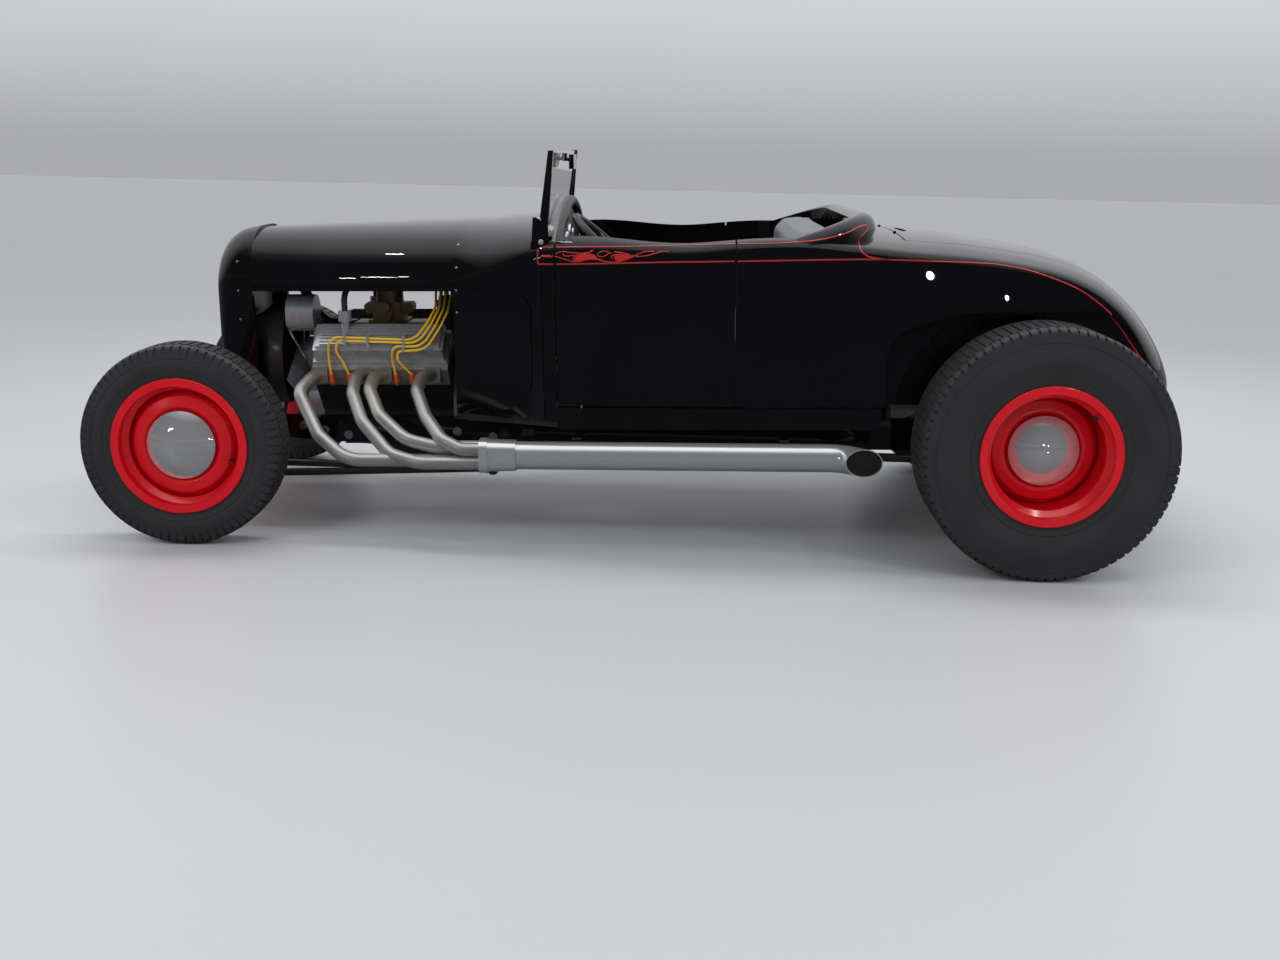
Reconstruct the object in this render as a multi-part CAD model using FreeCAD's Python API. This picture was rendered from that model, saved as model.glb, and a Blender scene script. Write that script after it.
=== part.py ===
import FreeCAD, Part
import math
import os

# Open two-seat street rod on a ladder frame, in millimetres.
# It is drawn in the frame's own axes: X to the tail, Y to the car's right side, Z up, with Z = 0 on the line through
# both axles and X = 0 midway between them. The last step tips the car onto its tyres: the rear ones are taller,
# so the nose comes down.

V = FreeCAD.Vector

# Stance and wheels
WHEELBASE = 2629.0
FRONT_TYRE_R = 313.0
REAR_TYRE_R = 381.0
FRONT_TYRE_W = 166.0
REAR_TYRE_W = 269.0
FRONT_RIM_FACE = 727.0
REAR_RIM_FACE = 874.0
FRONT_RIM_W = 138.0
REAR_RIM_W = 228.0
BEAD_R = 190.5
FLANGE_R = 211.5
FLANGE_T = 8.0
CAP_R = 106.0
FRONT_DISH_Y = 30.0
REAR_DISH_Y = -8.0

FRONT_X = -WHEELBASE / 2
REAR_X = WHEELBASE / 2
RAKE = math.asin((REAR_TYRE_R - FRONT_TYRE_R) / WHEELBASE)
AXLE_Z = (REAR_TYRE_R + FRONT_TYRE_R) / 2
FRONT_WHEEL_Y = FRONT_RIM_FACE - FLANGE_T - FRONT_RIM_W / 2
REAR_WHEEL_Y = REAR_RIM_FACE - FLANGE_T - REAR_RIM_W / 2

# Clearances
DOOR_GAP = 5.0
SEAT_GAP = 0.3

# Frame
RAIL_TOP = 30.0
RAIL_H = 90.0
RAIL_T = 50.0
HORN_H = 48.0
HORN_X = -1342.0
KICK_TOP = 165.0
RAIL_END_X = 1690.0
KICK_X = 900.0
RAIL_PLAN = [(HORN_X, 352.0), (KICK_X, 456.0), (RAIL_END_X, 405.0)]
RAIL_LOW = RAIL_TOP - RAIL_H
BORE_R = 6.5
BORE_DEEP = 40.0
HORN_BORE_Z = 6.0
TAIL_CROSS_LOW = KICK_TOP - 76
TAIL_BORE_X = RAIL_END_X - 15
TAIL_BORE_Y = 250.0

# Body
FLOOR_T = 20.0
FLOOR_TOP = RAIL_TOP + SEAT_GAP + FLOOR_T
BODY_LOW = FLOOR_TOP + SEAT_GAP
DOOR_LOW = 106.0
REAR_LOW = DOOR_LOW - 3
HOOD_FRONT_X = -1197.0
COWL_FRONT_X = -500.0
DOOR_FRONT_X = -160.0
DOOR_REAR_X = 395.0
DECK_FRONT_X = 925.0
TAIL_X = 1824.0
WALL = 50.0
SHEET = 12.0
COWL_WALL = 22.0
FIREWALL_T = 12.0
DECK_T = 30.0
BODY_HALF = 700.0
BODY_HIGH = 800.0

# Steering
KINGPIN_Y = 560.0
KINGPIN_R = 11.0
ARM_LEN = 140.0
TIE_Z = -66.0
COLUMN_TILT = math.radians(42.0)
HELM_R = 188.0
HELM_X = 18.0
HELM_Y = -300.0
HELM_Z = 556.0

# Engine
ENGINE_FRONT_X = -1006.0
ENGINE_REAR_X = -545.0
CRANK_Z = 20.0
BANK = math.radians(45)


def box(x0, x1, y0, y1, z0, z1):
    return Part.makeBox(x1 - x0, y1 - y0, z1 - z0, V(x0, y0, z0))


def rod(a, b, r):
    a, b = V(*a), V(*b)
    return Part.makeCylinder(r, (b - a).Length, a, b - a)


def mirrored(shape):
    return shape.mirror(V(0, 0, 0), V(0, 1, 0))


def fuse(shapes):
    body = shapes[0]
    for other in shapes[1:]:
        body = body.fuse(other)
    return body.removeSplitter()


def both(shape):
    return Part.Compound([shape, mirrored(shape)])


def prism(points, along):
    return Part.Face(Part.makePolygon([V(*p) for p in points + points[:1]])).extrude(V(*along))


def prism_y(points, y0, y1):
    return prism([(x, y0, z) for x, z in points], (0, y1 - y0, 0))


def prism_x(points, x0, x1):
    return prism([(x0, y, z) for y, z in points], (x1 - x0, 0, 0))


def prism_z(points, z0, z1):
    return prism([(x, y, z0) for x, y in points], (0, 0, z1 - z0))


def rounded_wire(points, radii, closed=False):
    """Straight runs joined by tangent arcs; one radius for each corner, 0 for a sharp one."""
    pts = [V(*p) for p in points]
    count = len(pts)
    edges = []
    corners = []
    for i, p in enumerate(pts):
        if not closed and i in (0, count - 1):
            corners.append((p, p, None))
            continue
        before = (pts[i - 1] - p).normalize()
        after = (pts[(i + 1) % count] - p).normalize()
        r = radii[i] if closed else radii[i - 1]
        if r <= 0:
            corners.append((p, p, None))
            continue
        half = before.getAngle(after) / 2
        back = r / math.tan(half)
        middle = (before + after).normalize()
        deep = r / math.sin(half) - r
        corners.append((p + before * back, p + after * back, p + middle * deep))
    for i in range(count):
        start, end, mid = corners[i]
        if mid is not None:
            edges.append(Part.Arc(start, mid, end).toShape())
        if closed or i < count - 1:
            following = corners[(i + 1) % count][0]
            if (following - end).Length > 1e-6:
                edges.append(Part.LineSegment(end, following).toShape())
    return Part.Wire(edges)


def tube(points, r, bends):
    """Round bar or pipe along straight runs and tangent arcs."""
    path = rounded_wire(points, bends)
    start = V(*points[0])
    section = Part.Wire(Part.makeCircle(r, start, V(*points[1]) - start))
    return path.makePipeShell([section], True, False)


def turned(points, radii):
    """Solid of revolution about the Y axis from (radius, y) corners."""
    wire = rounded_wire([(r, y, 0) for r, y in points], radii, closed=True)
    return Part.Face(wire).revolve(V(0, 0, 0), V(0, 1, 0), 360)


def moved(shape, x=0, y=0, z=0):
    out = shape.copy()
    out.translate(V(x, y, z))
    return out


# Stance of the finished car: midway between its front tyres' leading edge and its tail, standing on the ground
def stance(shape):
    nose = -WHEELBASE / 2 * math.cos(RAKE) - FRONT_TYRE_R
    tail = TAIL_X * math.cos(RAKE) - BODY_LOW * math.sin(RAKE)
    out = shape.copy()
    out.rotate(V(0, 0, 0), V(0, 1, 0), -math.degrees(RAKE))
    out.translate(V(-(nose + tail) / 2, 0, AXLE_Z))
    return out


def save(name, shape):
    stance(shape).exportStep("parts/" + name + ".step")


# Body outline across the car, at stations along it:
# x, half width at the bottom, half width at the shoulder, shoulder height, height at the middle, squareness
STATIONS = [
    (COWL_FRONT_X, 408, 424, 452, 658, 2.7),
    (-350, 480, 505, 507, 667, 2.6),
    (DOOR_FRONT_X, 565, 590, 560, 678, 2.5),
    (100, 592, 613, 574, 658, 2.3),
    (DOOR_REAR_X, 602, 621, 588, 650, 2.2),
    (650, 602, 622, 592, 646, 2.2),
    (900, 600, 618, 562, 622, 2.2),
    (1110, 596, 611, 541, 604, 2.2),
    (1300, 588, 602, 512, 574, 2.2),
    (1470, 574, 586, 448, 536, 2.2),
    (1590, 558, 568, 350, 478, 2.2),
    (1690, 520, 530, 215, 396, 2.2),
    (1760, 440, 446, 150, 305, 2.1),
    (1803, 330, 336, 118, 212, 2.0),
    (TAIL_X, 230, 234, 100, 146, 2.0),
]


def crown_edge(x, half, z_side, z_top, square):
    """Crowned top edge: a superellipse from shoulder to shoulder."""
    points = []
    steps = 8
    for i in range(-steps, steps + 1):
        a = math.pi / 2 * i / steps
        y = math.copysign(abs(math.sin(a)) ** (2 / square), a) * half
        z = z_side + (z_top - z_side) * abs(math.cos(a)) ** (2 / square)
        points.append(V(x, y, z))
    curve = Part.BSplineCurve()
    curve.interpolate(points)
    return curve.toShape()


def body_section(x, half_low, half_side, z_side, z_top, square, z_low=BODY_LOW):
    swell = 5
    z_mid = (z_low + z_side) / 2
    y_mid = (half_low + half_side) / 2 + swell
    left = Part.Arc(V(x, -half_low, z_low), V(x, -y_mid, z_mid), V(x, -half_side, z_side)).toShape()
    right = Part.Arc(V(x, half_side, z_side), V(x, y_mid, z_mid), V(x, half_low, z_low)).toShape()
    low = Part.LineSegment(V(x, half_low, z_low), V(x, -half_low, z_low)).toShape()
    return Part.Wire([left, crown_edge(x, half_side, z_side, z_top, square), right, low])


def body_outside():
    return Part.makeLoft([body_section(*s) for s in STATIONS], True, False)


def body_inside(first, last, inset, z_low):
    """The body's outline drawn in by one wall, between two stations."""
    wires = []
    for x, half_low, half_side, z_side, z_top, square in STATIONS[first:last + 1]:
        wires.append(body_section(x, half_low - inset, half_side - inset, z_side - inset, z_top - inset, square, z_low))
    return Part.makeLoft(wires, True, False)


# Cockpit opening in plan, with round rear corners
COCKPIT_FRONT_X = DOOR_FRONT_X - 12
COCKPIT_REAR_X = 760.0
COCKPIT_CORNER_R = 200.0
BULKHEAD_X = 905.0
BULKHEAD_T = 17.0


def cockpit_cut(inset=0.0):
    front, rear = COCKPIT_FRONT_X, COCKPIT_REAR_X - inset
    wall = WALL + inset
    outline = [(front, 590 - wall), (100, 613 - wall), (DOOR_REAR_X, 621 - wall), (rear, 621 - wall)]
    outline += [(x, -y) for x, y in reversed(outline)]
    round_r = COCKPIT_CORNER_R - inset
    corners = [0, 0, 0, round_r, round_r, 0, 0, 0]
    wire = rounded_wire([(x, y, -100) for x, y in outline], corners, closed=True)
    return Part.Face(wire).extrude(V(0, 0, 1100))


# Rolled rear edge of the cockpit: a hoop in a tilted plane, low at the doors and high behind the seat
ROLL_R = 46.0
ROLL_FRONT_X = 560.0
ROLL_BACK_X = 796.0
ROLL_FRONT_Z = 568.0
ROLL_BACK_Z = 644.0
ROLL_Y = 574.0
ROLL_CORNER_R = 215.0


def cockpit_roll():
    slope = (ROLL_BACK_Z - ROLL_FRONT_Z) / (ROLL_BACK_X - ROLL_FRONT_X)
    x0 = DOOR_REAR_X + 40
    z0 = ROLL_FRONT_Z - (ROLL_FRONT_X - x0) * slope
    points = [(x0, -ROLL_Y, z0), (ROLL_BACK_X, -ROLL_Y, ROLL_BACK_Z), (ROLL_BACK_X, ROLL_Y, ROLL_BACK_Z), (x0, ROLL_Y, z0)]
    return tube(points, ROLL_R, [ROLL_CORNER_R, ROLL_CORNER_R])


# Wheel arch cut in the body side, as deep as the wheelhouse
ARCH_IN_Y = 546.0


def arch_cut():
    outline = [(858, 0), (858, 330), (1080, 396), (1560, 398), (1690, 230), (1690, 0)]
    wire = rounded_wire([(x, ARCH_IN_Y, z) for x, z in outline], [0, 110, 380, 150, 150, 0], closed=True)
    return both(Part.Face(wire).extrude(V(0, 200, 0)))


# Lamps in the tail
LAMP_R = 26.0
LAMP_DEEP = 14.0
LAMP_Y = 165.0
LAMP_Z = 98.0


# Deck lid in plan, narrower at the tail, hinged on two pins along its front edge
LID_REAR_X = 1745.0
LID_REAR_Z = 330.0
LID_REAR_LEAN = 0.5
LID_FRONT_HALF = 430.0
LID_REAR_HALF = 330.0
HINGE_R = 5.0
LID_AXIS_X = DECK_FRONT_X
LID_AXIS_Z = 618.0
LID_HINGE_Y = 200.0


def lid_plan(gap):
    """The lid's outline; its rear edge leans back so that it can swing up and out."""
    f, r = LID_FRONT_HALF + gap, LID_REAR_HALF + gap
    x0, x1 = DECK_FRONT_X + DOOR_GAP - gap, LID_REAR_X + gap
    taper = (f - r) / (x1 - x0)
    reach = 200.0
    far = r - taper * reach
    plan = prism_z([(x0, -f), (x0, f), (x1 + reach, far), (x1 + reach, -far)], BODY_LOW + 10, BODY_HIGH)
    low_x = x1 - (LID_REAR_Z - BODY_LOW) * LID_REAR_LEAN
    high_x = x1 + (BODY_HIGH - LID_REAR_Z) * LID_REAR_LEAN
    side = prism_y([(x0, BODY_LOW), (low_x, BODY_LOW), (high_x, BODY_HIGH), (x0, BODY_HIGH)], -BODY_HALF, BODY_HALF)
    return plan.common(side)


def lid_hinge_barrels(extra):
    length = 30.0 + extra * 2
    return [rod((LID_AXIS_X, s * LID_HINGE_Y - length / 2, LID_AXIS_Z), (LID_AXIS_X, s * LID_HINGE_Y + length / 2, LID_AXIS_Z),
                HINGE_R + extra) for s in (1, -1)]


def lid_hinges():
    """Barrels on the body's deck, each on a short leaf let into it."""
    leaves = [box(LID_AXIS_X - 26, LID_AXIS_X, s * LID_HINGE_Y - 15, s * LID_HINGE_Y + 15, LID_AXIS_Z - 14, LID_AXIS_Z - 1) for s in (1, -1)]
    return lid_hinge_barrels(0) + leaves


# Doors hang on two short pins at the front edge, on an axis that follows the lean of the skin
DOOR_AXIS_X = DOOR_FRONT_X - DOOR_GAP / 2 + 2
DOOR_AXIS_LOW = (574.0, 153.0)
DOOR_AXIS_HIGH = (590.0, 520.0)
DOOR_HINGE_Z = (190.0, 480.0)
DOOR_HINGE_H = 40.0


def door_axis_y(z):
    (y0, z0), (y1, z1) = DOOR_AXIS_LOW, DOOR_AXIS_HIGH
    return y0 + (y1 - y0) * (z - z0) / (z1 - z0)


def door_hinge_barrels(extra):
    barrels = []
    for z in DOOR_HINGE_Z:
        low, high = z - DOOR_HINGE_H / 2 - extra, z + DOOR_HINGE_H / 2 + extra
        barrels.append(rod((DOOR_AXIS_X, door_axis_y(low), low), (DOOR_AXIS_X, door_axis_y(high), high), HINGE_R + extra))
    return barrels


def door_hinges():
    leaves = []
    for z in DOOR_HINGE_Z:
        y = door_axis_y(z)
        leaves.append(box(DOOR_AXIS_X - 26, DOOR_AXIS_X - 1, y - 20, y - 2, z - DOOR_HINGE_H / 2, z + DOOR_HINGE_H / 2))
    return door_hinge_barrels(0) + leaves


# Gearbox tunnel: rings of (x, inner radius) about the crankshaft line
TUNNEL = [(-560, 222), (-395, 140), (-40, 114), (150, 66), (BULKHEAD_X, 66)]
TUNNEL_T = 8.0


def tunnel(grow):
    parts = []
    for (x0, r0), (x1, r1) in zip(TUNNEL, TUNNEL[1:]):
        if abs(r0 - r1) < 0.1:
            parts.append(rod((x0, 0, CRANK_Z), (x1, 0, CRANK_Z), r0 + grow))
        else:
            parts.append(Part.makeCone(r0 + grow, r1 + grow, x1 - x0, V(x0, 0, CRANK_Z), V(1, 0, 0)))
    return fuse(parts)


# Raised panel on each side of the cowl, round at the bottom, and the upright bead between it and the door
BULGE_OUT = 9.0
BULGE_FRONT_X = -499.0
BULGE_REAR_X = -240.0
BULGE_LOW = 74.0
BULGE_TOP = 452.0
BEAD_X = -208.0
BEAD_W = 13.0
BEAD_OUT = 6.0


def cowl_relief():
    front, rear = BULGE_FRONT_X, BULGE_REAR_X
    shapes = []
    for share in (0.4, 0.7, 1.0):
        step = (1 - share) * 22
        corner = 118 - step
        side = [(front, BULGE_LOW + step), (rear - step, BULGE_LOW + step), (rear - step, BULGE_TOP - step), (front, BULGE_TOP - step)]
        wire = rounded_wire([(x, -BODY_HALF, z) for x, z in side], [corner, corner, 60, 0], closed=True)
        plate = Part.Face(wire).extrude(V(0, 2 * BODY_HALF, 0))
        shapes.append(body_inside(0, 3, -BULGE_OUT * share, BODY_LOW).common(plate))
    for share in (0.5, 1.0):
        half = BEAD_W / 2 * (1.6 - share * 0.8)
        strip = box(BEAD_X - half, BEAD_X + half, -BODY_HALF, BODY_HALF, BODY_LOW, POST_FOOT_Z - 50)
        shapes.append(body_inside(0, 3, -BEAD_OUT * share, BODY_LOW).common(strip))
    return shapes


def body_panels():
    """Cowl, door, rear body and deck lid, cut from one outline so that they line up."""
    outside = body_outside()
    cockpit = cockpit_cut()
    foot_room = body_inside(0, 2, COWL_WALL, 0)
    foot_room = foot_room.common(box(COWL_FRONT_X + FIREWALL_T, COCKPIT_FRONT_X + 1, -BODY_HALF, BODY_HALF, 0, BODY_HIGH))
    jamb = DOOR_FRONT_X - DOOR_GAP / 2
    cowl = outside.common(box(COWL_FRONT_X, jamb, -BODY_HALF, BODY_HALF, 0, BODY_HIGH))
    cowl = fuse([cowl] + cowl_relief())
    cowl = cowl.cut(foot_room).cut(cockpit).cut(tunnel(TUNNEL_T + SEAT_GAP))
    for side in (1, -1):
        y0, y1 = sorted((side * (POST_Y - 6), side * (POST_Y + POST_T + 14)))
        cowl = cowl.cut(box(POST_X - 34, COCKPIT_FRONT_X + 20, y0, y1, POST_FOOT_Z, BODY_HIGH))
    cowl = fuse([cowl] + door_hinges() + [mirrored(h) for h in door_hinges()])

    door = outside.common(box(DOOR_FRONT_X + DOOR_GAP / 2, DOOR_REAR_X - DOOR_GAP / 2, 0, BODY_HALF, DOOR_LOW, BODY_HIGH))
    door = door.cut(cockpit)
    for barrel in door_hinge_barrels(SEAT_GAP):
        door = door.cut(barrel)

    rear_front = DOOR_REAR_X + DOOR_GAP / 2
    rear = outside.common(box(rear_front, TAIL_X + 1, -BODY_HALF, BODY_HALF, REAR_LOW, BODY_HIGH))
    tail = outside.common(box(1640, TAIL_X + 1, -BODY_HALF, BODY_HALF, BODY_LOW, DOOR_LOW))
    roll = cockpit_roll().common(box(rear_front, 1000, -BODY_HALF, BODY_HALF, 0, BODY_HIGH))
    rear = rear.fuse(tail).fuse(roll).cut(cockpit)
    hollow_half = ARCH_IN_Y - 16
    behind_seat = box(COCKPIT_REAR_X - 1, BULKHEAD_X - BULKHEAD_T, -hollow_half, hollow_half, -50, 560)
    trunk = body_inside(6, 13, DECK_T, 0).common(box(BULKHEAD_X, 1790, -hollow_half, hollow_half, 0, BODY_HIGH))
    lid = outside.common(lid_plan(0)).cut(trunk)
    for barrel in lid_hinge_barrels(SEAT_GAP):
        lid = lid.cut(barrel)
    rear = rear.cut(behind_seat).cut(trunk).cut(arch_cut()).cut(lid_plan(DOOR_GAP))
    for y in (-LAMP_Y, LAMP_Y):
        rear = rear.cut(rod((TAIL_X - LAMP_DEEP - SEAT_GAP, y, LAMP_Z), (TAIL_X + 10, y, LAMP_Z), LAMP_R + SEAT_GAP))
    rear = fuse([rear] + lid_hinges())
    return cowl, door, rear, lid


# Hood top: one sheet from the grille shell to the cowl, open below
def hood_section(x, half, z_low, z_side, z_top, square, inset):
    left = Part.LineSegment(V(x, -half + inset, z_low), V(x, -half + inset, z_side)).toShape()
    right = Part.LineSegment(V(x, half - inset, z_side), V(x, half - inset, z_low)).toShape()
    low = Part.LineSegment(V(x, half - inset, z_low), V(x, -half + inset, z_low)).toShape()
    return Part.Wire([left, crown_edge(x, half - inset, z_side, z_top - inset, square), right, low])


def hood_top():
    front = (HOOD_FRONT_X, 258, 432, 440, 632, 2.5)
    rear = (COWL_FRONT_X - SEAT_GAP, 424, 446, 452, 657, 2.7)
    outer = Part.makeLoft([hood_section(*front, 0), hood_section(*rear, 0)], True, True)
    inner = Part.makeLoft([hood_section(*front, SHEET), hood_section(*rear, SHEET)], True, True)
    return outer.cut(inner)


# Grille shell: tall outline with a rounded top, turned back at its front edge
CROSS_TOP = RAIL_TOP - 4
CROSS_H = 40.0
SHELL_LOW = CROSS_TOP + SEAT_GAP
SHELL_BACK_X = HOOD_FRONT_X - SEAT_GAP
SHELL_FLOOR_T = 20.0
GRILLE_X = -1318.0


def shell_wire(x, half_top, half_low, z_top, z_low, r_top):
    outline = [(x, -half_low, z_low), (x, -half_top, z_top), (x, half_top, z_top), (x, half_low, z_low)]
    return rounded_wire(outline, [18, r_top, r_top, 18], closed=True)


def grille_shell():
    rings = [
        shell_wire(-1330, 176, 168, 542, SHELL_LOW + 14, 118),
        shell_wire(-1318, 192, 180, 572, SHELL_LOW + 5, 128),
        shell_wire(-1294, 210, 190, 602, SHELL_LOW, 140),
        shell_wire(-1250, 236, 196, 628, SHELL_LOW, 158),
        shell_wire(SHELL_BACK_X, 257, 200, 638, SHELL_LOW, 172),
    ]
    outer = Part.makeLoft(rings, True, False)
    opening = Part.Face(shell_wire(-1400, 148, 140, 512, SHELL_LOW + 46, 100)).extrude(V(400, 0, 0))
    low = SHELL_LOW + SHELL_FLOOR_T
    core = [shell_wire(-1300, 186, 168, 580, low, 130), shell_wire(-1190, 240, 182, 620, low, 160)]
    shell = outer.cut(opening).cut(Part.makeLoft(core, True, True))
    return shell.cut(box(-1400, -1100, -400, 400, -100, SHELL_LOW))


def grille_bars():
    pitch = 9.5
    bar_w = 3.0
    deep = 8.0
    frame = Part.Face(shell_wire(GRILLE_X, 147.7, 139.7, 511.7, SHELL_LOW + 46.3, 99.7))
    hole = Part.Face(shell_wire(GRILLE_X, 141, 133, 505, SHELL_LOW + 53, 94))
    surround = frame.cut(hole).extrude(V(deep, 0, 0))
    window = hole.extrude(V(deep, 0, 0))
    bars = [surround]
    count = int(140 / pitch)
    for i in range(-count, count + 1):
        y = i * pitch
        bars.append(box(GRILLE_X, GRILLE_X + deep, y - bar_w / 2, y + bar_w / 2, SHELL_LOW, 520).common(window))
    return fuse(bars)


RADIATOR_X = -1296.0
RADIATOR_T = 60.0
OUTLET_Z = 480.0


def radiator():
    back, front = RADIATOR_X, RADIATOR_X + RADIATOR_T
    low = SHELL_LOW + SHELL_FLOOR_T + SEAT_GAP
    core = Part.Face(shell_wire(back, 150, 140, 545, low + 30, 100)).extrude(V(RADIATOR_T, 0, 0))
    foot = box(back, front, -110, 110, low, low + 40)
    neck = rod((back + RADIATOR_T / 2, 0, 540), (back + RADIATOR_T / 2, 0, 582), 28)
    return fuse([core, foot, neck])


# Ladder frame: two straight boxed rails, the kicked-up pair welded on behind them, and the crossmembers
def rail_outer_y(x):
    """Half width over the rails: narrow at the nose, widest where the kick-up starts."""
    for (x0, y0), (x1, y1) in zip(RAIL_PLAN, RAIL_PLAN[1:]):
        if x <= x1:
            return y0 + (y1 - y0) * (x - x0) / (x1 - x0)
    return RAIL_PLAN[-1][1]


def frame_rail(start, end):
    """The stretch of the right rail between two stations."""
    low = RAIL_LOW
    outline = [(HORN_X, RAIL_TOP), (KICK_X + 60, RAIL_TOP), (KICK_X + 220, KICK_TOP), (RAIL_END_X, KICK_TOP),
               (RAIL_END_X, KICK_TOP - 80), (KICK_X + 270, KICK_TOP - 80), (KICK_X + 110, low), (-760, low),
               (HORN_X, RAIL_TOP - HORN_H)]
    bends = [10, 140, 140, 10, 10, 90, 90, 300, 10]
    side = Part.Face(rounded_wire([(x, 200, z) for x, z in outline], bends, closed=True)).extrude(V(0, 400, 0))
    outer = [(start, rail_outer_y(start)), (end, rail_outer_y(end))]
    plan = outer + [(x, y - RAIL_T) for x, y in reversed(outer)]
    return side.common(prism_z(plan, -200, 300))


def frame_bay():
    """The space between the two rails, which the crossmembers fill from face to face."""
    half = [(x, y - RAIL_T - SEAT_GAP) for x, y in RAIL_PLAN]
    return prism_z(half + [(x, -y) for x, y in reversed(half)], -200, 300)


def frame():
    """Both straight rails, each with a blind bore in the end of its horn."""
    y = rail_outer_y(HORN_X) - RAIL_T / 2
    bore = rod((HORN_X - 10, y, HORN_BORE_Z), (HORN_X + BORE_DEEP, y, HORN_BORE_Z), BORE_R)
    return both(frame_rail(HORN_X, KICK_X).cut(bore))


def rear_rails():
    """The pair that kicks up over the rear axle."""
    return both(frame_rail(KICK_X + SEAT_GAP, RAIL_END_X))


def cross_tube(x, z, r):
    return rod((x, -BODY_HALF, z), (x, BODY_HALF, z), r)


def crossmembers():
    """Nose, gearbox, kick-up, over-axle and tail members, the last with two blind bores in its underside."""
    half = BODY_HALF
    front = box(HORN_X + 2, -1270, -half, half, CROSS_TOP - CROSS_H, CROSS_TOP)
    under_gearbox = box(80, 140, -half, half, RAIL_LOW, RAIL_LOW + 17)
    kick = cross_tube(1080, 76, 24)
    over_axle = cross_tube(OVER_AXLE_X, OVER_AXLE_Z, OVER_AXLE_R)
    tail = box(RAIL_END_X - 30, RAIL_END_X, -half, half, TAIL_CROSS_LOW, KICK_TOP - 4)
    for y in (-TAIL_BORE_Y, TAIL_BORE_Y):
        tail = tail.cut(rod((TAIL_BORE_X, y, TAIL_CROSS_LOW - 10), (TAIL_BORE_X, y, TAIL_CROSS_LOW + BORE_DEEP), BORE_R))
    bay = frame_bay()
    return Part.Compound([member.common(bay) for member in (front, under_gearbox, kick, over_axle, tail)])


# Front axle: dropped beam with a boss for each kingpin
AXLE_DROP = 100.0
AXLE_H = 48.0


def front_axle():
    top, low = -AXLE_DROP + AXLE_H / 2, -AXLE_DROP - AXLE_H / 2
    right_top = [(418, top), (490, -6), (528, 22), (KINGPIN_Y, 22)]
    right_low = [(KINGPIN_Y, -22), (532, -24), (506, -54), (432, low)]
    half = right_top + right_low
    outline = half + [(-y, z) for y, z in reversed(half)]
    beam = prism_x(outline, FRONT_X - 24, FRONT_X + 24)
    web = [(0, top - 12), (410, top - 12), (470, -40), (480, -62), (424, low + 12), (0, low + 12)]
    for side in (1, -1):
        panel = [(y * side, z) for y, z in web]
        beam = beam.cut(prism_x(panel, FRONT_X + 9, FRONT_X + 40))
        beam = beam.cut(prism_x(panel, FRONT_X - 40, FRONT_X - 9))
    pins = []
    for side in (1, -1):
        y = KINGPIN_Y * side
        pins.append(rod((FRONT_X, y, -30), (FRONT_X, y, 30), 25))
        pins.append(rod((FRONT_X, y, -56), (FRONT_X, y, 56), KINGPIN_R))
    return fuse([beam] + pins)


# Front suspension: transverse leaf spring under the nose crossmember, shackled to the axle, and two radius rods
SPRING_HALF = 400.0
SPRING_R = 2300.0
LEAF_T = 7.0
ROD_Y = 415.0
ROD_JOINT_X = -385.0
ROD_JOINT_Z = -131.0
ROD_HIGH_Z = -108.0
ROD_LOW_Z = -148.0


def leaf(half, r_out, centre):
    def at(r, a):
        return V(FRONT_X - 22, r * math.sin(a), centre + r * math.cos(a))
    a = math.asin(half / r_out)
    r_in = r_out - LEAF_T
    outer = Part.Arc(at(r_out, -a), at(r_out, 0), at(r_out, a)).toShape()
    inner = Part.Arc(at(r_in, a), at(r_in, 0), at(r_in, -a)).toShape()
    ends = [Part.LineSegment(at(r_out, a), at(r_in, a)).toShape(), Part.LineSegment(at(r_in, -a), at(r_out, -a)).toShape()]
    return Part.Face(Part.Wire([outer, ends[0], inner, ends[1]])).extrude(V(44, 0, 0))


def front_suspension():
    top = CROSS_TOP - CROSS_H - SEAT_GAP
    centre = top - SPRING_R
    leaves = [leaf(SPRING_HALF - 70 * i, SPRING_R - LEAF_T * i, centre) for i in range(5)]
    end_z = centre + math.sqrt(SPRING_R ** 2 - SPRING_HALF ** 2)
    shackle_low = -AXLE_DROP + AXLE_H / 2 + SEAT_GAP
    shackle = box(FRONT_X - 20, FRONT_X + 20, SPRING_HALF - 12, SPRING_HALF + 10, shackle_low, end_z)
    spring = fuse(leaves + [shackle, mirrored(shackle)])
    start = FRONT_X + 24 + SEAT_GAP
    rods = [box(start, start + 9, ROD_Y - 20, ROD_Y + 16, ROD_LOW_Z - 20, ROD_HIGH_Z + 22)]
    for z in (ROD_HIGH_Z, ROD_LOW_Z):
        rods.append(tube([(start + 2, ROD_Y, z), (start + 110, ROD_Y, z), (ROD_JOINT_X - 20, ROD_Y, ROD_JOINT_Z)], 12, [200]))
    rods.append(rod((ROD_JOINT_X - 26, ROD_Y, ROD_JOINT_Z), (ROD_JOINT_X + 12, ROD_Y, ROD_JOINT_Z), 17))
    rods.append(rod((ROD_JOINT_X, ROD_Y - 20, ROD_JOINT_Z), (ROD_JOINT_X, ROD_Y + 20, ROD_JOINT_Z), 19))
    hang = RAIL_LOW - SEAT_GAP
    hanger = [(ROD_JOINT_X - 34, hang), (ROD_JOINT_X + 34, hang), (ROD_JOINT_X + 14, ROD_JOINT_Z), (ROD_JOINT_X - 14, ROD_JOINT_Z)]
    rods.append(prism_y(hanger, ROD_Y - 30, ROD_Y - 19))
    arm = fuse(rods)
    return Part.Compound([spring, arm, mirrored(arm)])


# Rear axle: banjo case on two tubes, with a backing plate at each end
AXLE_TUBE_R = 38.0


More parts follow.
